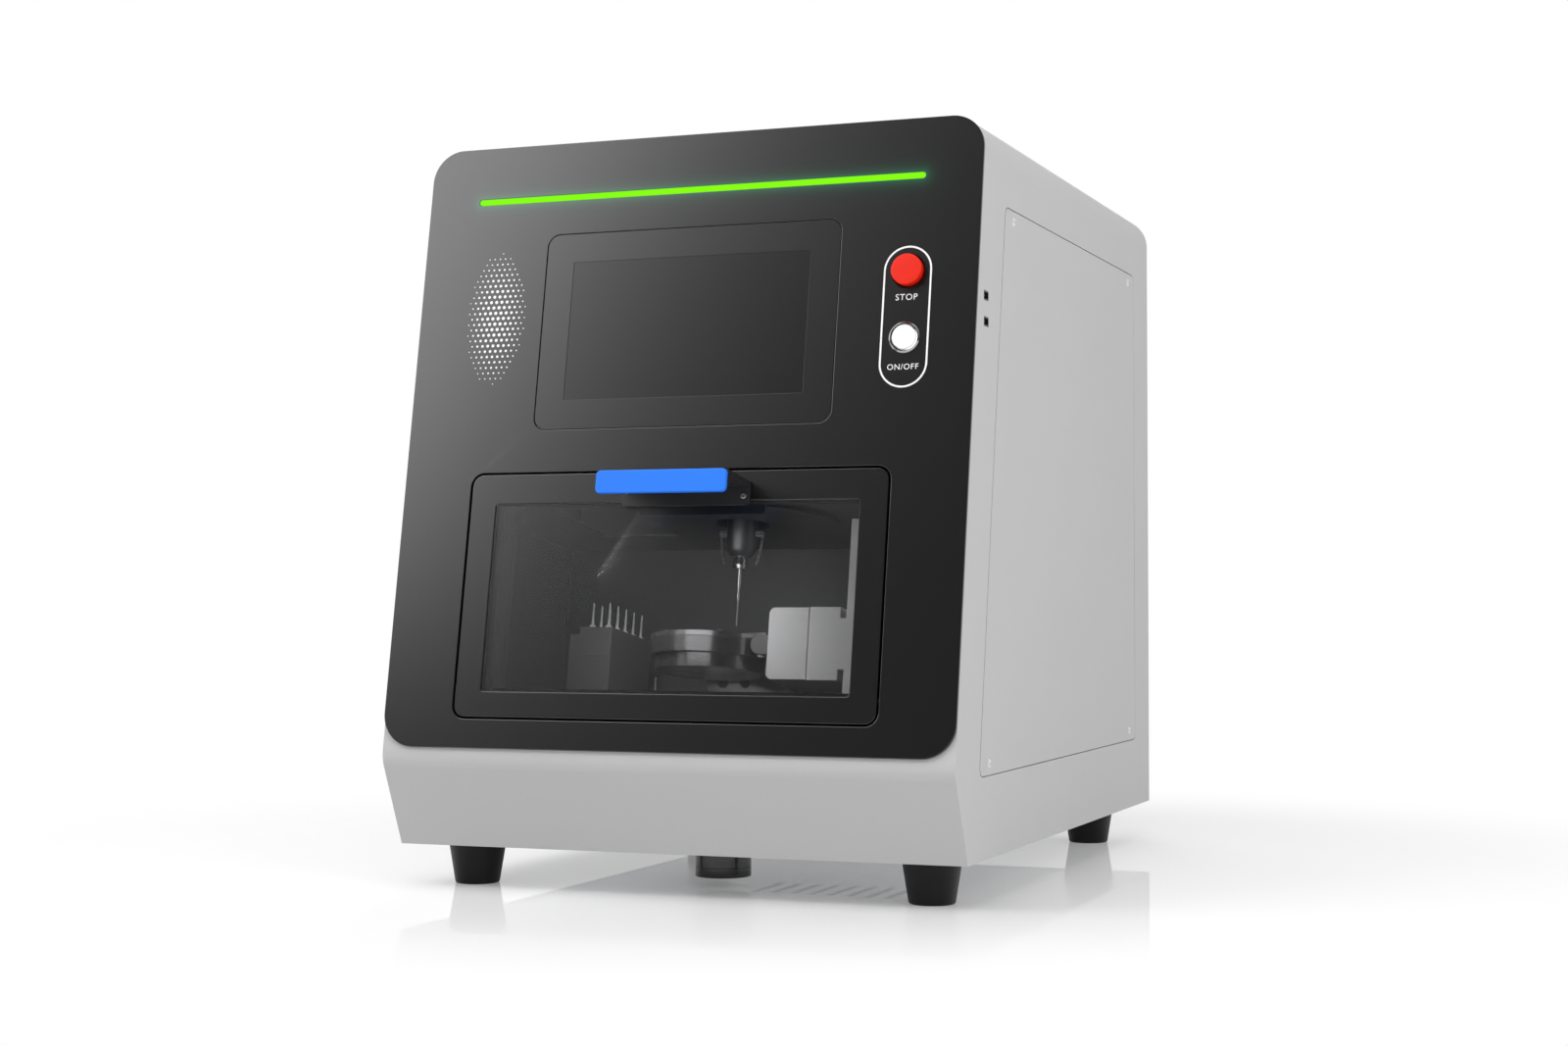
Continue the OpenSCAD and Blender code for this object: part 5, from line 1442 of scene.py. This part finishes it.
@dataclass
class Studio:
    """Pale floor, soft lamps and the camera."""

    camera_at: Triple = (0.82435, -2.21472, 0.2582)
    yaw: float = 20.883
    pitch: float = 1.661
    sensor: float = 36.0
    lens: float = 55.91
    farthest: float = 100.0
    ambient: float = 0.38
    mirrored: Span = (0.02, 1.0)
    horizon: Span = (-0.5, 0.3)
    floor_half: float = 60.0
    floor_grey: Colour = (0.8, 0.8, 0.8)
    floor_rough: Span = (0.5, 0.6)
    floor_lift: float = 0.22
    floor_gloss: float = 0.28
    gloss_rough: float = 0.015
    gloss_fade: Span = (0.4, 0.8)
    fade: Span = (0.42, 1.05)
    lamps: tuple[Softbox, ...] = (
        Softbox("key", (-2.15, -2.25, 2.65), (0, 0, 0.3), 2.2, 46.0),
        Softbox("fill", (2.65, -1.2, 1.15), (0, 0, 0.3), 2.5, 37.0),
        Softbox("top", (0.1, -1.5, 2.8), (0, 0, 0.3), 2.4, 31.0),
        Softbox("rear", (-1.2, 2.8, 1.5), (0, 0, 0.3), 2.4, 34.0),
        Softbox("reflector", (-1.466, -0.877, 1.739), (0, 0, 0.35), 2.27, 60.0, True, False),
        Softbox("chamber lamp", spot(-65, 35, 195), spot(80, 150, 100), 0.09, 0.83),
        Softbox("chamber reflector", spot(-18, 38, 150), spot(-18, 105, 118), 0.10, 0.075, True, False),
    )

    def build(self) -> None:
        """Makes the world, the floor, the lamps and the camera."""
        self.world()
        floor = self.floor()
        for lamp in self.lamps:
            lamp.build(floor)
        data = bpy.data.cameras.new("camera")
        data.sensor_fit = "HORIZONTAL"
        data.sensor_width = self.sensor
        data.lens = self.lens
        data.clip_end = self.farthest
        camera = bpy.data.objects.new("camera", data)
        camera.location = self.camera_at
        camera.rotation_euler = (math.radians(90 + self.pitch), 0, math.radians(self.yaw))
        bpy.context.scene.collection.objects.link(camera)
        bpy.context.scene.camera = camera
        bpy.context.scene.view_settings.view_transform = "Standard"

    def world(self) -> None:
        """White to the camera, grey as light; gloss sees it white behind the machine and dark ahead."""
        world = bpy.data.worlds.new("studio")
        bpy.context.scene.world = world
        world.use_nodes = True
        tree = world.node_tree
        back = tree.nodes["Background"]
        path = tree.nodes.new("ShaderNodeLightPath")
        seen = tree.nodes.new("ShaderNodeMath")
        seen.operation = "MAXIMUM"
        tree.links.new(path.outputs["Is Camera Ray"], seen.inputs[0])
        tree.links.new(path.outputs["Is Transmission Ray"], seen.inputs[1])
        scale = tree.nodes.new("ShaderNodeMapRange")
        scale.inputs["To Min"].default_value = self.ambient
        scale.inputs["To Max"].default_value = 1.0
        tree.links.new(seen.outputs[0], scale.inputs["Value"])
        ray = tree.nodes.new("ShaderNodeTexCoord")
        split = tree.nodes.new("ShaderNodeSeparateXYZ")
        tree.links.new(ray.outputs["Generated"], split.inputs[0])
        ahead = tree.nodes.new("ShaderNodeMapRange")
        ahead.interpolation_type = "SMOOTHSTEP"
        ends = (*self.horizon, *self.mirrored)
        for key, value in zip(("From Min", "From Max", "To Min", "To Max"), ends):
            ahead.inputs[key].default_value = value
        tree.links.new(split.outputs["Y"], ahead.inputs["Value"])
        pick = tree.nodes.new("ShaderNodeMix")
        tree.links.new(path.outputs["Is Glossy Ray"], pick.inputs["Factor"])
        tree.links.new(scale.outputs[0], pick.inputs["A"])
        tree.links.new(ahead.outputs[0], pick.inputs["B"])
        back.inputs["Color"].default_value = WHITE_LIGHT
        tree.links.new(pick.outputs["Result"], back.inputs["Strength"])

    def floor(self) -> bpy.types.Object:
        """Makes a wide floor: near the machine it takes light, shadow and gloss, far off it is plain white.

        Returns:
            The floor.
        """
        side = self.floor_half
        corners = [(-side, -side, 0), (side, -side, 0), (side, side, 0), (-side, side, 0)]
        mesh = bpy.data.meshes.new("floor")
        mesh.from_pydata(corners, [], [(0, 1, 2, 3)])
        floor = bpy.data.objects.new("floor", mesh)
        bpy.context.scene.collection.objects.link(floor)
        s = Sketch("pale floor", Base_Color=(*self.floor_grey, 1), Specular_IOR_Level=0.0)
        s.wire(s.span(s.noise(3.0, 2), *self.floor_rough), "Roughness")
        seen = s.node("LightPath").outputs
        clear = s.math("MAXIMUM", seen["Is Camera Ray"], seen["Is Glossy Ray"])
        clear = s.math("MAXIMUM", clear, seen["Is Transmission Ray"])
        lift = s.node("Emission", {"Color": WHITE_LIGHT, "Strength": self.floor_lift}).outputs[0]
        body = s.node("AddShader", {0: s.shader.outputs[0], 1: lift}).outputs[0]
        mirror = s.node("BsdfAnisotropic", {"Color": WHITE_LIGHT, "Roughness": self.gloss_rough}).outputs[0]
        far = s.node("VectorMath", {0: s.coords.outputs["Object"]}, operation="LENGTH").outputs["Value"]
        start, end = self.gloss_fade
        span = {"Value": far, "From Min": start, "From Max": end, "To Min": self.floor_gloss, "To Max": 0.0}
        gloss = s.node("MapRange", span, interpolation_type="SMOOTHSTEP").outputs[0]
        near = s.node("MixShader", {0: gloss, 1: body, 2: mirror}).outputs[0]
        white = s.node("Emission", {"Color": WHITE_LIGHT, "Strength": 1.0}).outputs[0]
        start, end = self.fade
        span = {"Value": far, "From Min": start, "From Max": end}
        fade = s.node("MapRange", span, interpolation_type="SMOOTHSTEP").outputs[0]
        shown = s.node("MixShader", {0: fade, 1: near, 2: white}).outputs[0]
        mixed = s.node("MixShader", {0: clear, 1: s.shader.outputs[0], 2: shown}).outputs[0]
        s.tree.links.new(mixed, s.tree.nodes["Material Output"].inputs["Surface"])
        mesh.materials.append(s.material)
        return floor


def main() -> None:
    """Builds the stage and dresses the machine."""
    logging.basicConfig(level=logging.INFO, format="%(name)s: %(message)s")
    Studio().build()
    dress_nodes(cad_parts)
    Machine().build()


if __name__ == "__main__":
    main()
